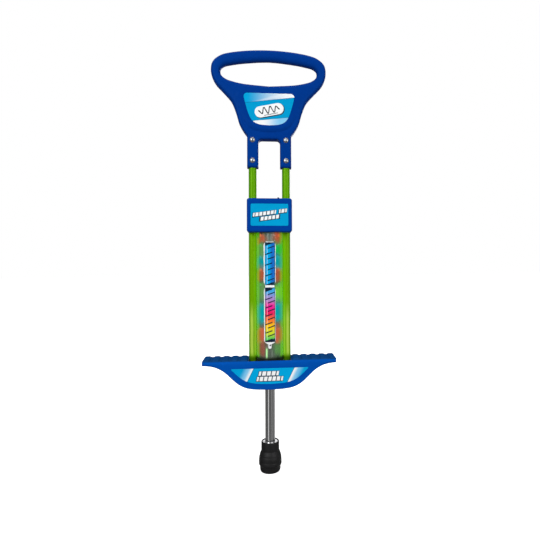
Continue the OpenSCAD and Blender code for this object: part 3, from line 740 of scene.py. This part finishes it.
def handle_outline():
    """From the right leg's foot up over the grip and down again, with the window between the legs."""
    step = 2.2
    side = smooth_line(HANDLE_SIDE + [HANDLE_CROWN] + mirrored(HANDLE_SIDE), step)
    corner = arc((LEG_IN - WINDOW_R, WINDOW_HIGH - WINDOW_R), WINDOW_R, 90, 0, 6)
    other = mirrored(corner)
    loop = straight((LEG_IN, LEG_LOW), (LEG_OUT, LEG_LOW), step)
    loop += straight((LEG_OUT, LEG_LOW), HANDLE_SIDE[0], step) + side
    loop += straight((-LEG_OUT, HANDLE_SIDE[0][1]), (-LEG_OUT, LEG_LOW), step)[1:]
    loop += straight((-LEG_OUT, LEG_LOW), (-LEG_IN, LEG_LOW), step)
    loop += straight((-LEG_IN, LEG_LOW), other[0], step) + other
    loop += straight(other[-1], corner[0], step)[1:] + corner
    return loop + straight(corner[-1], (LEG_IN, LEG_LOW), step)[1:]


def slot_loop():
    half = [SLOT_BOTTOM] + SLOT_SIDE + [SLOT_TOP]
    return smooth_line(half + mirrored(SLOT_SIDE) + [SLOT_BOTTOM], 2.0)[:-1]


def label_loop(inset=0.0):
    r = HANDLE_LABEL_R
    middle = (HANDLE_LABEL_X - r, HANDLE_LABEL_HIGH - r)
    side = smooth_line(HANDLE_LABEL_SIDE + [(HANDLE_LABEL_X, middle[1])], 2.0)[:-1] + arc(middle, r, 0, 90, 6)
    top = straight((middle[0], HANDLE_LABEL_HIGH), (-middle[0], HANDLE_LABEL_HIGH), 2.5)[1:]
    return shrink(side + top + mirrored(side[1:]), inset)


def build_handle(plastic, print_material):
    half = -node_mm("handle_front_shell")[0][1]
    outline, slot = handle_outline(), slot_loop()
    grip = lambda z: ease(z, 676, 752)
    edge = lambda z: LEG_EDGE + grip(z) * (GRIP_EDGE - LEG_EDGE)
    wall = lambda z: (half - LEG_EDGE) * (1 - grip(z)) + GRIP_WALL * grip(z)
    recess = label_loop(-0.5)
    marks = [recess, label_loop(-0.1), label_loop(-CREASE_AT)]

    def change(points, gap):
        """The sticker's recess, a swell and a crease round its lower part, and a step over the hand slot."""
        sunk = inside(points, label_loop(-0.3)) * 0.45
        away = distance(points, recess) * ~inside(points, recess)
        low_part = (1 - ease(points[:, 1], 690, 716)) * ease(gap, 1.5, 7.0)
        crease = np.exp(-((away - CREASE_AT) / 1.7) ** 2)
        swell = ease(away, 1.0, 4.5) * (1 - ease(away, 6.5, CREASE_AT))
        step = (1 - ease(distance(points, slot), 5.2, 7.2)) * ease(points[:, 1], 802, 812)
        return sunk + CREASE_DEEP * (crease - swell) * low_part + 0.7 * step * ease(gap, 1.0, 4.0)

    front = relief("handle_front", plastic, outline, -1, half, edge, wall, [slot], marks, change, even=14)
    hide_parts("handle_front_shell")
    sink, wells = screw_wells(HANDLE_SCREWS, 3.4, 3.4)
    rear = relief("handle_rear", plastic, outline, 1, half, edge, wall, [slot], wells, sink, even=14)
    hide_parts("handle_rear_shell")
    label = plate("handle_sticker", print_material, label_loop(0.1), -half + 0.12, 0.25)
    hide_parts("handle_label")


# ---------------------------------------------------------------- footrest

RISE_X, RISE_W, RISE_H = 75.5, 25.3, 49.1
REST_LABEL_LOW, REST_LABEL_TOP, REST_LABEL_X, REST_LABEL_RISE_X = 176.6, 207.0, 74.0, 70.0
REST_SCREWS = [(84, 209), (60, 188), (22, 175.7), (-84, 209), (-60, 188), (-22, 175.7)]
TREAD_Z, WELL_X, WELL_Z, WELL_WALL = 221.0, 42.0, 214.0, 3.0
RIB_FIRST, RIB_PITCH, RIB_HALF, RIB_H, RIB_SUNK, RIBS = 51.0, 18.2, 6.9, 2.3, 0.3, 5
RIB_SHORT = 5.0     # how far the ribs stop before the footrest's edge
REST_RINGS = (0.15, 0.5, 1.0, 1.7, 2.6, 4.5)


def sweep_up(x, low, middle):
    """Height of the curved underside, which rises fastest at middle."""
    return low + RISE_H * (1 + math.tanh((abs(x) - middle) / RISE_W)) / 2


def underside(half_x, low, middle, count):
    """The sweep from left to right."""
    xs = [-half_x + 2 * half_x * i / count for i in range(count + 1)]
    return [np.array((x, sweep_up(x, low, middle))) for x in xs]


def footrest_outline(half_x, low):
    corner = 1.6
    loop = underside(half_x, low, RISE_X, 120)
    loop += straight(loop[-1], (half_x, TREAD_Z - corner), 1.5)[1:]
    loop += arc((half_x - corner, TREAD_Z - corner), corner, 0, 90, 4)
    loop += straight((half_x - corner, TREAD_Z), (-half_x + corner, TREAD_Z), 3.0)[1:]
    loop += arc((-half_x + corner, TREAD_Z - corner), corner, 90, 180, 4)
    loop += straight((-half_x, TREAD_Z - corner), loop[0], 1.5)[1:]
    return loop


def rest_label_loop():
    left = (-REST_LABEL_X, REST_LABEL_TOP)
    top = straight((REST_LABEL_X, REST_LABEL_TOP), left, 2.5) + [np.array(left)]
    return underside(REST_LABEL_X, REST_LABEL_LOW, REST_LABEL_RISE_X, 60) + top


def rib_piece(name, material, side, index, half_y):
    """One soft-edged grip rib, running front to back."""
    cx = side * (RIB_FIRST + RIB_PITCH * index)
    across, along = 14, 26
    spread = lambda i, count, power: math.copysign(1 - (1 - abs(2 * i / count - 1)) ** power, 2 * i - count)
    verts, faces = [], []
    for v in (spread(j, along, 1.6) for j in range(along + 1)):
        for u in (spread(i, across, 1.4) for i in range(across + 1)):
            crown = (1 - abs(u) ** 4.0) ** 0.7 * (1 - abs(v) ** 20) ** 0.5
            verts.append((cx + RIB_HALF * u, half_y * v, TREAD_Z - RIB_SUNK + (RIB_H + RIB_SUNK) * crown))
    row = across + 1
    for j in range(along):
        for i in range(across):
            a = j * row + i
            faces.append((a, a + 1, a + row + 1, a + row))
    rim = list(range(across)) + [j * row + across for j in range(along)]
    rim += [along * row + i for i in range(across, 0, -1)] + [j * row for j in range(along, 0, -1)]
    base = {i: len(verts) + k for k, i in enumerate(rim)}
    verts += [(verts[i][0], verts[i][1], TREAD_Z - 1.0) for i in rim]
    faces += [(b, a, base[a], base[b]) for a, b in zip(rim, rim[1:] + rim[:1])] + [list(base.values())]
    return sharpen(make_piece(name, verts, faces, material, "frame"), 50)


def build_footrest(plastic, print_material):
    low, high = node_mm("footrest_front_shell")
    half_y, half_x = -low[1], high[0]
    outline = footrest_outline(half_x, low[2])
    loop = rest_label_loop()
    edge = lambda z: 2.2 + 3.0 * ease(z, 206, 217)
    wall = lambda z: half_y - edge(z)
    sink, recess = sticker_recess(loop)
    front = relief("footrest_front", plastic, outline, -1, half_y, edge, wall, (), recess, sink, REST_RINGS)
    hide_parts("footrest_front_shell")
    sink, wells = screw_wells(REST_SCREWS, 3.3, 2.8)
    rear = relief("footrest_rear", plastic, outline, 1, half_y, edge, wall, (), wells, sink, REST_RINGS)
    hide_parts("footrest_rear_shell")
    label = plate("footrest_sticker", print_material, shrink(loop, 0.1), -half_y + 0.1, 0.25)
    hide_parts("footrest_label")
    for piece in (front, rear):
        cut_box(piece, (-WELL_X, WELL_WALL - half_y, WELL_Z), (WELL_X, half_y - WELL_WALL, TREAD_Z + 5))
    for side, word in ((-1, "left"), (1, "right")):
        for index in range(RIBS):
            rib = rib_piece(f"{word}_tread_rib_{index + 1}", plastic, side, index, half_y - RIB_SHORT)


# ---------------------------------------------------------------- collar

COLLAR_SCREWS = [(x, z) for x in (-33.5, 33.5) for z in (484, 522)]
COLLAR_CORNER, COLLAR_EDGE = 4.2, 3.4
COLLAR_RINGS = (0.2, 0.7, 1.4, 2.3, 3.4, 5.5)
DOOR_HALF, DOOR_SLACK = 24, 0.15


def build_collar(plastic, print_material):
    low, high = node_mm("collar_front_shell")
    door_low, door_high = node_mm("battery_door")
    half_y = -low[1]
    outline = rectangle(low[0], high[0], low[2], high[2], COLLAR_CORNER)
    l_low, l_high = node_mm("collar_label")
    label = rectangle(l_low[0], l_high[0], l_low[2], l_high[2], 2.6)
    edge = lambda z: np.full(len(z), COLLAR_EDGE)
    wall = lambda z: half_y - edge(z)
    sink, recess = sticker_recess(label)
    front = relief("collar_front", plastic, outline, -1, half_y, edge, wall, (), recess, sink, COLLAR_RINGS)
    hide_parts("collar_front_shell")
    half_x = DOOR_HALF + DOOR_SLACK
    opening = rectangle(-half_x, half_x, door_low[2] - DOOR_SLACK, door_high[2] + DOOR_SLACK, 0.5)
    sink, wells = screw_wells(COLLAR_SCREWS, 3.8, 3.4)
    rear = relief("collar_rear", plastic, outline, 1, half_y, edge, wall, [opening], wells, sink,
                  COLLAR_RINGS)
    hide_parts("collar_rear_shell")
    sticker = plate("collar_sticker", print_material, label, -half_y + 0.1, 0.25)
    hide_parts("collar_label")


# ---------------------------------------------------------------- foot and barrel

def build_foot(material):
    """Bulging foot with its bands and steps, from the sole up its outside and down its bore."""
    top = node_mm("rubber_foot")[1][2]
    stem = node_mm("plunger_tube")[1][0] + 0.05
    profile = [(0.001, 0.0), (16.6, 0.0), (18.6, 0.6), (19.8, 2.6), (20.2, 5.0), (20.3, 12.0),
               (21.8, 12.9), (22.4, 14.6), (22.4, 19.6), (21.9, 20.3), (21.9, 21.1), (22.3, 21.8),
               (22.0, 27.6), (21.5, 30.2), (20.9, 31.0), (20.9, 32.0), (20.7, 33.6), (19.4, 37.2),
               (18.3, 39.2), (17.7, 40.2), (17.5, 41.6), (17.7, 43.0), (17.7, top - 0.9), (16.9, top),
               (15.4, top), (14.6, top - 0.9), (14.6, top - 2.6), (stem, top - 2.6), (stem, 8.0),
               (0.001, 8.0)]
    piece = lathe("rubber_foot_detailed", material, fillet(profile, 0.7, 3), "plunger")
    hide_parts("rubber_foot")


BARREL_WALL, BARREL_BEVEL = 2.0, 0.3
BARREL_PROUD = 0.06     # closes the hairline beside the uprights


def build_barrel(clear, print_material):
    low, high = node_mm("light_barrel")
    outer = high[0] + BARREL_PROUD
    inner, z0, z1, b = outer - BARREL_WALL, low[2], high[2], BARREL_BEVEL
    profile = [(inner, z0 + b), (inner + b, z0), (outer - b, z0), (outer, z0 + b),
               (outer, z1 - b), (outer - b, z1), (inner + b, z1), (inner, z1 - b)]
    barrel = lathe("clear_barrel_tube", clear, profile, "frame", closed=True)
    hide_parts("light_barrel")
    sticker = plate("barrel_sticker", print_material, barrel_label_loop(), 0, 0.2, wrap_r=outer + 0.15)
    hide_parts("barrel_label")


def build_spring():
    """The coil as a copy of the CAD spring, riding on the frame; how much of it would stay as the plunger
    rises is worked out but not applied.
    """
    travel = next(joint for joint in frame["joints"] if joint["name"] == "plunger_slide")["range_m"][1]
    low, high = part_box("main_spring")
    keep = 1 - (travel + 0.5 * MM) / (high.z - low.z)
    piece = add_object("main_spring_coil", nodes["main_spring"].data.copy())
    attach(piece, "frame")
    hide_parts("main_spring")
    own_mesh(piece)


def barrel_label_loop():
    """Die-cut outline: a stack of four blocks, a waist and a capsule that ends in a dot."""
    right = [(0, 243.5), (2.6, 245), (3.0, 249), (3.4, 252.5), (8, 254.5), (11.2, 258.5), (11.6, 266),
             (11.4, 300), (11.6, 340), (11.8, 356), (9.2, 363.5), (9.8, 368.5), (12.2, 374), (11.8, 388),
             (12.4, 396), (11.8, 409), (12.4, 417), (11.8, 430), (12.4, 440), (11.6, 448), (7, 452.5)]
    loop = smooth_line(right, 2.0)
    return loop + mirrored(loop)[:-1]


# ---------------------------------------------------------------- printed graphics

CYAN, PALE, WHITE = (0.0008, 0.325, 0.63), (0.24, 0.58, 0.86), (0.92, 0.93, 0.94)
INK, SHADOW = (0.012, 0.014, 0.02), (0.004, 0.035, 0.07)


def print_base(name):
    return Paint(name, CYAN, 0.32, Specular_IOR_Level=0.25, Specular_Tint=gloss_tint(CYAN))


def finish_print(p, colour):
    """Vinyl print: ink with slight mottling, a soft gloss and shallow ripples."""
    ripple = p.noise(9, 2.0)
    speck = p.noise(1.2, 4.0).ramp(0.66, 0.72)
    p.feed("Base Color", p.mix(colour, (0.5, 0.55, 0.6), speck * 0.03))
    p.feed("Roughness", ripple.ramp(0.3, 0.7, 0.26, 0.38))
    return p.bump(ripple, 0.1, 0.1).material


def turned(p, x0, z0, degrees):
    """Coordinates turned about a point: along and across."""
    c, s = math.cos(math.radians(degrees)), math.sin(math.radians(degrees))
    x, z = p.x - x0, p.z - z0
    return x * c + z * s, z * c - x * s


def capsule(u, v, half_length, radius):
    """Distance outside a capsule lying along u."""
    return (u.abs() - half_length).most(0.0).diagonal(v) - radius


def slanted_bars(u, v, pitch, half, height, slope, reach):
    """Distance outside a row of slanted bars: pitch apart, half wide and height high."""
    lean = u - v * slope
    bar = (lean.wrap(pitch).abs() - half).most(v.abs() - height / 2)
    return bar.most(lean.abs() - reach)


def bar_row(p, colour, u, v, shift, *shape):
    """A row of white bars, with a dark shadow that is shift lower and further left."""
    shadow = slanted_bars(u + shift, v + shift, *shape).below(1.1, 0.15)
    return p.mix(p.mix(colour, SHADOW, shadow), WHITE, slanted_bars(u, v, *shape).below(0.0, 0.15))


def handle_print():
    """White sheen above and below a cyan band, and a white badge with a generic wave line."""
    p = print_base("handle_sticker_print")
    upper = p.z - p.x * 0.126 - 737.4
    lower = p.z - p.x * 0.115 - 698.5
    glow = p.mix(shade(CYAN, 1.1), WHITE, (p.x * 0.01).ramp(-0.45, 0.52))
    rays = (p.z - p.x * 0.32 - 741).abs().ramp(0.0, 5.0, 1.0, 0.0)
    glow = p.mix(glow, WHITE, rays * 0.35)
    colour = p.mix(CYAN, glow, (-upper).below(0.0, 0.25))
    dish = p.mix(WHITE, PALE, p.x.ramp(-16.0, 24.0))
    colour = p.mix(colour, dish, lower.below(0.0, 0.25))
    colour = p.mix(colour, (0.004, 0.12, 0.32), upper.abs().below(0.5, 0.2))
    colour = p.mix(colour, (0.01, 0.20, 0.36), (lower - 0.4).abs().below(0.5, 0.25))
    u, v = turned(p, 0.0, 717.0, 12)
    shadow = capsule(u - 1.2, v + 1.4, 18.0, 12.2)
    badge = capsule(u, v, 18.0, 11.4)
    colour = p.mix(colour, (0.03, 0.05, 0.07), shadow.below(0.0, 0.2))
    colour = p.mix(colour, WHITE, badge.below(0.0, 0.2))
    wave = (u * 0.5).math("SINE") * u.abs().ramp(10.0, 24.0, 6.2, 1.5)
    steep = ((u * 0.5).math("COSINE").abs() * u.abs().ramp(10.0, 24.0, 2.3, 0.5)) + 1.0
    stroke = (v - 0.8 - wave).abs() * steep.math("POWER", -1.0)
    colour = p.mix(colour, INK, stroke.below(1.0, 0.2) * u.abs().below(21.5, 0.2))
    under = (v + 8.4).abs().below(0.6, 0.15) * (u - 2.0).abs().below(14.0, 0.4)
    colour = p.mix(colour, INK, under)
    return finish_print(p, colour)


def collar_print():
    """Three rows of plain slanted bars on cyan."""
    p = print_base("collar_sticker_print")
    colour = p.vary(CYAN, 0.95, 1.12, p.noise(40, 1.0))
    for x0, z0, reach in ((-9.6, 507.4, 22.4), (26.2, 512.4, 7.6), (0.6, 499.0, 19.6)):
        u, v = turned(p, x0, z0, 8)
        colour = bar_row(p, colour, u, v, 0.5, 7.5, 2.9, 7.0, 0.25, reach)
    return finish_print(p, colour)


def footrest_print():
    """Two rows of plain slanted bars on cyan, between white stripes and fading panes."""
    p = print_base("footrest_sticker_print")
    lean = p.x - p.z * 0.5 + 103.85
    right = lean - 48.3
    left = -lean - 31.5
    pane = right.most(left)
    blend = p.mix(WHITE, PALE, pane.ramp(1.0, 9.0))
    blend = p.mix(blend, shade(CYAN, 1.1), pane.ramp(7.0, 21.0))
    # painted light: the cyan here is brighter than the other prints', for the dimmer light on the tilted
    # footrest
    colour = p.mix(shade(CYAN, 1.18), blend, (-pane).below(0.0, 0.25))
    colour = p.mix(colour, WHITE, (right - 0.6).abs().below(0.8, 0.2))
    colour = p.mix(colour, (0.01, 0.05, 0.11), (pane + 0.9).abs().below(0.4, 0.2))
    for x0, z0, reach, pitch in ((-2.2, 197.0, 19.2, 9.2), (-0.2, 186.8, 25.2, 8.2)):
        colour = bar_row(p, colour, p.x - x0, p.z - z0, 0.4, pitch, pitch * 0.39, 8.2, 0.2, reach)
    return finish_print(p, colour)


RAINBOW = ((262, (0.10, 0.62, 0.10)), (274, (0.62, 0.75, 0.02)), (286, (1.0, 0.62, 0.0)),
           (299, (1.0, 0.20, 0.02)), (312, (0.85, 0.01, 0.10)), (326, (0.90, 0.01, 0.32)),
           (340, (0.42, 0.26, 0.62)), (355, (0.06, 0.40, 0.80)))
WAIST_Z = 365.5
HALVES = ((409.0, 42.0, 10.5), (309.5, 53.0, 8.1))


def winding(lean, x, middle, half, step):
    """Distance outside a band that winds to and fro, one turn to every step."""
    along = lean - middle
    from_left = (along.wrap(step * 2).abs() - 1.15).most(x - 4.4)
    from_right = ((along + step).wrap(step * 2).abs() - 1.15).most(-x - 4.4)
    return (x.abs() - 8.9).most(along.abs() - half + 4.0).most(-from_left).most(-from_right)


def barrel_print():
    """Two dark capsules on white, each with a winding band like a spring: blue above, a rainbow below."""
    p = print_base("barrel_sticker_print")
    x, z = p.x - 0.6, p.z
    lean = z - x * 0.34
    upper = (-z).below(-WAIST_Z, 0.3)
    hues = p.mix((0.0, 0.40, 0.80), (0.01, 0.13, 0.56), x.ramp(-3.0, 5.0))
    rainbow = RAINBOW[0][1]
    for (z0, _), (z1, tint) in zip(RAINBOW, RAINBOW[1:]):
        rainbow = p.mix(rainbow, tint, z.ramp(z0, z1))
    hues = p.mix(rainbow, hues, upper)
    pill, band = p.constant(99.0), p.constant(99.0)
    for middle, half, step in HALVES:
        pill = pill.least((x.abs() - 10.0).most((z - middle).abs() - half))
        band = band.least(winding(lean, x, middle, half, step))
    colour = p.mix(WHITE, (0.008, 0.012, 0.03), pill.below(0.0, 0.3))
    colour = p.mix(colour, hues, band.below(0.0, 0.25))
    shine = (x + 5.4).abs().below(0.5, 0.4) * band.below(-0.8, 0.3)
    colour = p.mix(colour, WHITE, shine * 0.45)
    dot = (z - 250.2).diagonal(x)
    colour = p.mix(colour, (0.05, 0.05, 0.05), dot.below(1.7, 0.2))
    return finish_print(p, colour)


# ---------------------------------------------------------------- lights in the barrel

RED, GREEN, TEAL = (0.62, 0.14, 0.065), (0.01, 0.56, 0.09), (0.0, 0.42, 0.45)
LIME, MOSS, BROWN = (0.22, 0.68, 0.06), (0.17, 0.42, 0.12), (0.42, 0.13, 0.09)
HAZE = (0.13, 0.19, 0.13)
UPRIGHT_REFLECTION_GREEN = (0.12, 0.47, 0.003)
GLEAM = (0.45, 0.85, 0.38)
# Patches of lamp light in the barrel: side, height, half height, colour and strength
GLOWS = ((-1, 457, 11, RED, 0.7), (-1, 436, 15, MOSS, 0.7), (-1, 412, 16, TEAL, 0.7),
         (-1, 387, 16, RED, 0.6), (-1, 354, 20, MOSS, 0.7), (-1, 312, 27, TEAL, 0.9),
         (-1, 267, 20, RED, 0.9), (-1, 240, 16, BROWN, 0.6),
         (1, 463, 14, RED, 0.7), (1, 438, 17, GREEN, 1.0), (1, 412, 16, TEAL, 0.9),
         (1, 389, 15, RED, 0.6), (1, 354, 21, LIME, 0.9), (1, 315, 27, TEAL, 1.0),
         (1, 270, 22, RED, 0.95), (1, 240, 17, MOSS, 0.55))


def glow_layers(p, base, inner, outer):
    """Lamp colours over a base, coming in from inner to outer beside the axis, and how strong they are."""
    colour, strength = base, p.constant(0.0)
    drift = p.noise(22, 2.0).ramp(0.3, 0.7, -5.0, 5.0)
    for side, z, half, tint, power in GLOWS:
        near = (p.z - z + drift).abs().ramp(0.0, half * 1.5, 1.0, 0.0) * (p.x * side).ramp(inner, outer)
        colour = p.mix(colour, tint, near.ramp(0.0, 0.95))
        strength = strength.most(near.ramp(0.0, 0.7) * power)
    return colour, strength


def lit_barrel():
    """Clear tube with a haze of lamp light in it, a painted reflection of the uprights at its sides, and fine
    scratches.
    """
    p = Paint("barrel_clear", HAZE, 0.06, IOR=1.49, Specular_IOR_Level=0.12)
    scratch = p.noise(0.8, 3.0, stretch=(1, 1, 0.05)).ramp(0.62, 0.72)
    swirl = p.noise(9, 3.0, stretch=(1, 1, 0.4))
    base = p.vary(HAZE, 0.6, 1.6, swirl)
    colour, strength = glow_layers(p, base, 5.0, 14.0)
    # painted reflection: the uprights' green painted on the tube's sides, where it also glows a little
    edge = p.x.abs().ramp(15.5, 23.5)
    colour = p.mix(colour, p.mix(UPRIGHT_REFLECTION_GREEN, colour, strength * 0.5), edge)
    gleam = (p.x + 6.3).abs().ramp(0.6, 3.2, 1.0, 0.0) * p.z.ramp(250, 240)
    colour = p.mix(colour, GLEAM, gleam)
    # painted shade: the tube darkens where it goes down into the footrest
    painted_shade = p.z.ramp(230, 223)
    colour = p.mix(colour, shade(HAZE, 0.1), painted_shade)
    front, rear = p.y.ramp(-6.0, 6.0, 1.0, 0.0), p.y.ramp(-6.0, 6.0)
    p.feed("Base Color", colour)
    p.feed("Emission Color", colour)
    # the sides glow with the painted reflection; the patches stand in for lamp light
    p.feed("Emission Strength", (strength * 0.25).most(edge * 0.4).most(gleam * 0.3) * front)
    haze = (strength * 0.5 + 0.14 + scratch * 0.04).most(rear * 0.8)
    p.feed("Alpha", haze.most(edge).most(gleam * 0.75).most(painted_shade * 0.8))
    p.feed("Roughness", scratch.ramp(0.0, 1.0, 0.05, 0.25))
    return p.material


def lit_tube(name, colour, roughness):
    """The bright spring tube, tinted by the lamps beside it."""
    p = Paint(name, colour, roughness, metallic=0.7)
    brushed = p.noise(0.5, 2.0, stretch=DRAWN)
    tint, strength = glow_layers(p, colour, -4.0, 13.0)
    bare = p.vary(colour, 0.8, 1.15, brushed)
    p.feed("Base Color", p.mix(bare, tint, strength * 0.8))
    p.feed("Roughness", brushed.ramp(0.3, 0.7, roughness * 0.8, roughness * 1.3))
    p.feed("Emission Color", tint)
    p.feed("Emission Strength", strength * 0.2)
    return p.bump(brushed, 0.08, 0.05).material


def copper_tracks(p):
    """1 on the tracks of a circuit, which come and go in patches."""
    across, along = p.x.wrap(2.2).abs().below(0.35, 0.08), p.z.wrap(5.4).abs().below(0.3, 0.08)
    return across.most(along) * p.noise(6, 2.0).ramp(0.45, 0.55)


def lit_strip(colour, track):
    """Light strip: solder mask with copper tracks, flooded by its own lamps."""
    p = Paint("strip_mask_grey", colour, 0.4, Specular_IOR_Level=0.3)
    tracks = copper_tracks(p)
    mask = p.mix(colour, track, tracks)
    tint, strength = glow_layers(p, mask, 0.0, 6.0)
    p.feed("Base Color", p.mix(mask, tint, strength * 0.9))
    p.feed("Emission Color", tint)
    p.feed("Emission Strength", strength * 0.45)
    return p.bump(tracks, 0.3, 0.06).material


def lamp_material(name, colour, strength):
    p = Paint(name, colour, 0.2, Emission_Color=opaque(colour))
    p.feed("Emission Strength", p.noise(1.5, 2.0).ramp(0.3, 0.7, strength * 0.8, strength * 1.2))
    return p.bump(p.noise(0.5, 2.0), 0.1, 0.05).material


def circuit(name, colour, track):
    """Solder mask with copper tracks showing through it."""
    p = Paint(name, colour, 0.35, Specular_IOR_Level=0.4)
    tracks = copper_tracks(p)
    p.feed("Base Color", p.mix(colour, track, tracks))
    p.feed("Roughness", p.noise(2, 2.0).ramp(0.3, 0.7, 0.3, 0.42))
    return p.bump(tracks, 0.3, 0.06).material


def cell_wrap():
    """Printed sleeve: dark ends, a copper band and plated caps."""
    dark = (0.02, 0.02, 0.022)
    p = Paint("cell_sleeve", dark, 0.3, Coat_Weight=0.3)
    band = p.x.abs().below(11.0, 0.2)
    cap = p.x.abs().ramp(21.3, 21.5)
    p.feed("Base Color", p.mix(p.mix(dark, (0.55, 0.25, 0.06), band), (0.7, 0.7, 0.7), cap))
    p.feed("Metallic", cap.most(band * 0.7))
    return p.bump(p.noise(3, 2.0), 0.1, 0.05).material


# ---------------------------------------------------------------- finishes of the carried-over nodes

def finish_nodes(materials):
    """Gives every shown CAD node the material of its slot."""
    slots = {part["node"]: part["material_slot"] for part in frame["record"]["subparts"]}
    for name, node in nodes.items():
        node.data.materials.clear()
        node.data.materials.append(materials[slots[name]])


def all_materials():
    """The material of each of the record's material slots."""
    return {
        "green_tube": powder_coat("green_powder_coat", (0.102, 0.335, 0.0006), (0.46, 0.66, 0.08)),
        "plug_black": plain_plastic("plug_plastic", (0.03, 0.03, 0.03)),
        "handle_blue": moulded_plastic("handle_plastic", (0.0004, 0.036, 0.25)),
        "collar_blue": moulded_plastic("collar_plastic", (0.0008, 0.045, 0.30)),
        "footrest_blue": moulded_plastic("footrest_plastic", (0.0008, 0.075, 0.40), worn_and_shaded_above=TREAD_Z - 0.7),
        "screw_zinc": metal("zinc_plate", (0.55, 0.55, 0.56), 0.3, GRAINED),
        "rivet_metal": metal("rivet_alloy", (0.42, 0.43, 0.45), 0.34, GRAINED),
        "handle_print": handle_print(),
        "collar_print": collar_print(),
        "footrest_print": footrest_print(),
        "barrel_print": barrel_print(),
        "tray_black": plain_plastic("tray_plastic", (0.03, 0.03, 0.035)),
        "contact_nickel": metal("nickel", (0.70, 0.68, 0.62), 0.25),
        "cell_wrap": cell_wrap(),
        "board_green": circuit("board_mask", (0.01, 0.16, 0.05), (0.05, 0.34, 0.10)),
        "chip_black": plain_plastic("chip_epoxy", (0.02, 0.02, 0.02), 0.4),
        "sensor_can": metal("sensor_plate", (0.7, 0.7, 0.72), 0.22),
        "lead_red": plain_plastic("red_sleeve", (0.55, 0.02, 0.015), 0.4),
        "lead_white": plain_plastic("white_sleeve", (0.75, 0.75, 0.72), 0.4),
        "clear_barrel": lit_barrel(),
        "strip_mask": lit_strip((0.10, 0.16, 0.11), (0.34, 0.38, 0.30)),
        "led_red": lamp_material("red_lamp", (1.0, 0.18, 0.05), 0.9),
        "led_green": lamp_material("green_lamp", (0.05, 0.8, 0.15), 0.7),
        "led_teal": lamp_material("teal_lamp", (0.0, 0.60, 0.75), 0.7),
        "zinc_tube": lit_tube("spring_tube_zinc", (0.30, 0.34, 0.30), 0.42),
        "spring_steel": metal("spring_wire", (0.30, 0.30, 0.31), 0.35),
        "nylon": plain_plastic("nylon", (0.80, 0.79, 0.72), 0.45),
        "stop_rubber": rubber("stop_rubber"),
        "bracket_steel": powder_coat("bracket_paint", (0.02, 0.02, 0.022)),
        "chromed_tube": metal("chrome_plate", (0.84, 0.84, 0.845), 0.11, tarnish=0.05),
        "foot_rubber": rubber("foot_rubber"),
        "washer_steel": metal("bright_washer", (0.50, 0.50, 0.51), 0.42, GRAINED),
        "button_black": rubber("button_rubber", (0.006, 0.006, 0.006), 0.6),
    }


make_camera()
make_studio()
materials = all_materials()
finish_nodes(materials)
build_handle(materials["handle_blue"], materials["handle_print"])
build_footrest(materials["footrest_blue"], materials["footrest_print"])
build_collar(materials["collar_blue"], materials["collar_print"])
build_foot(materials["foot_rubber"])
build_barrel(materials["clear_barrel"], materials["barrel_print"])
build_spring()
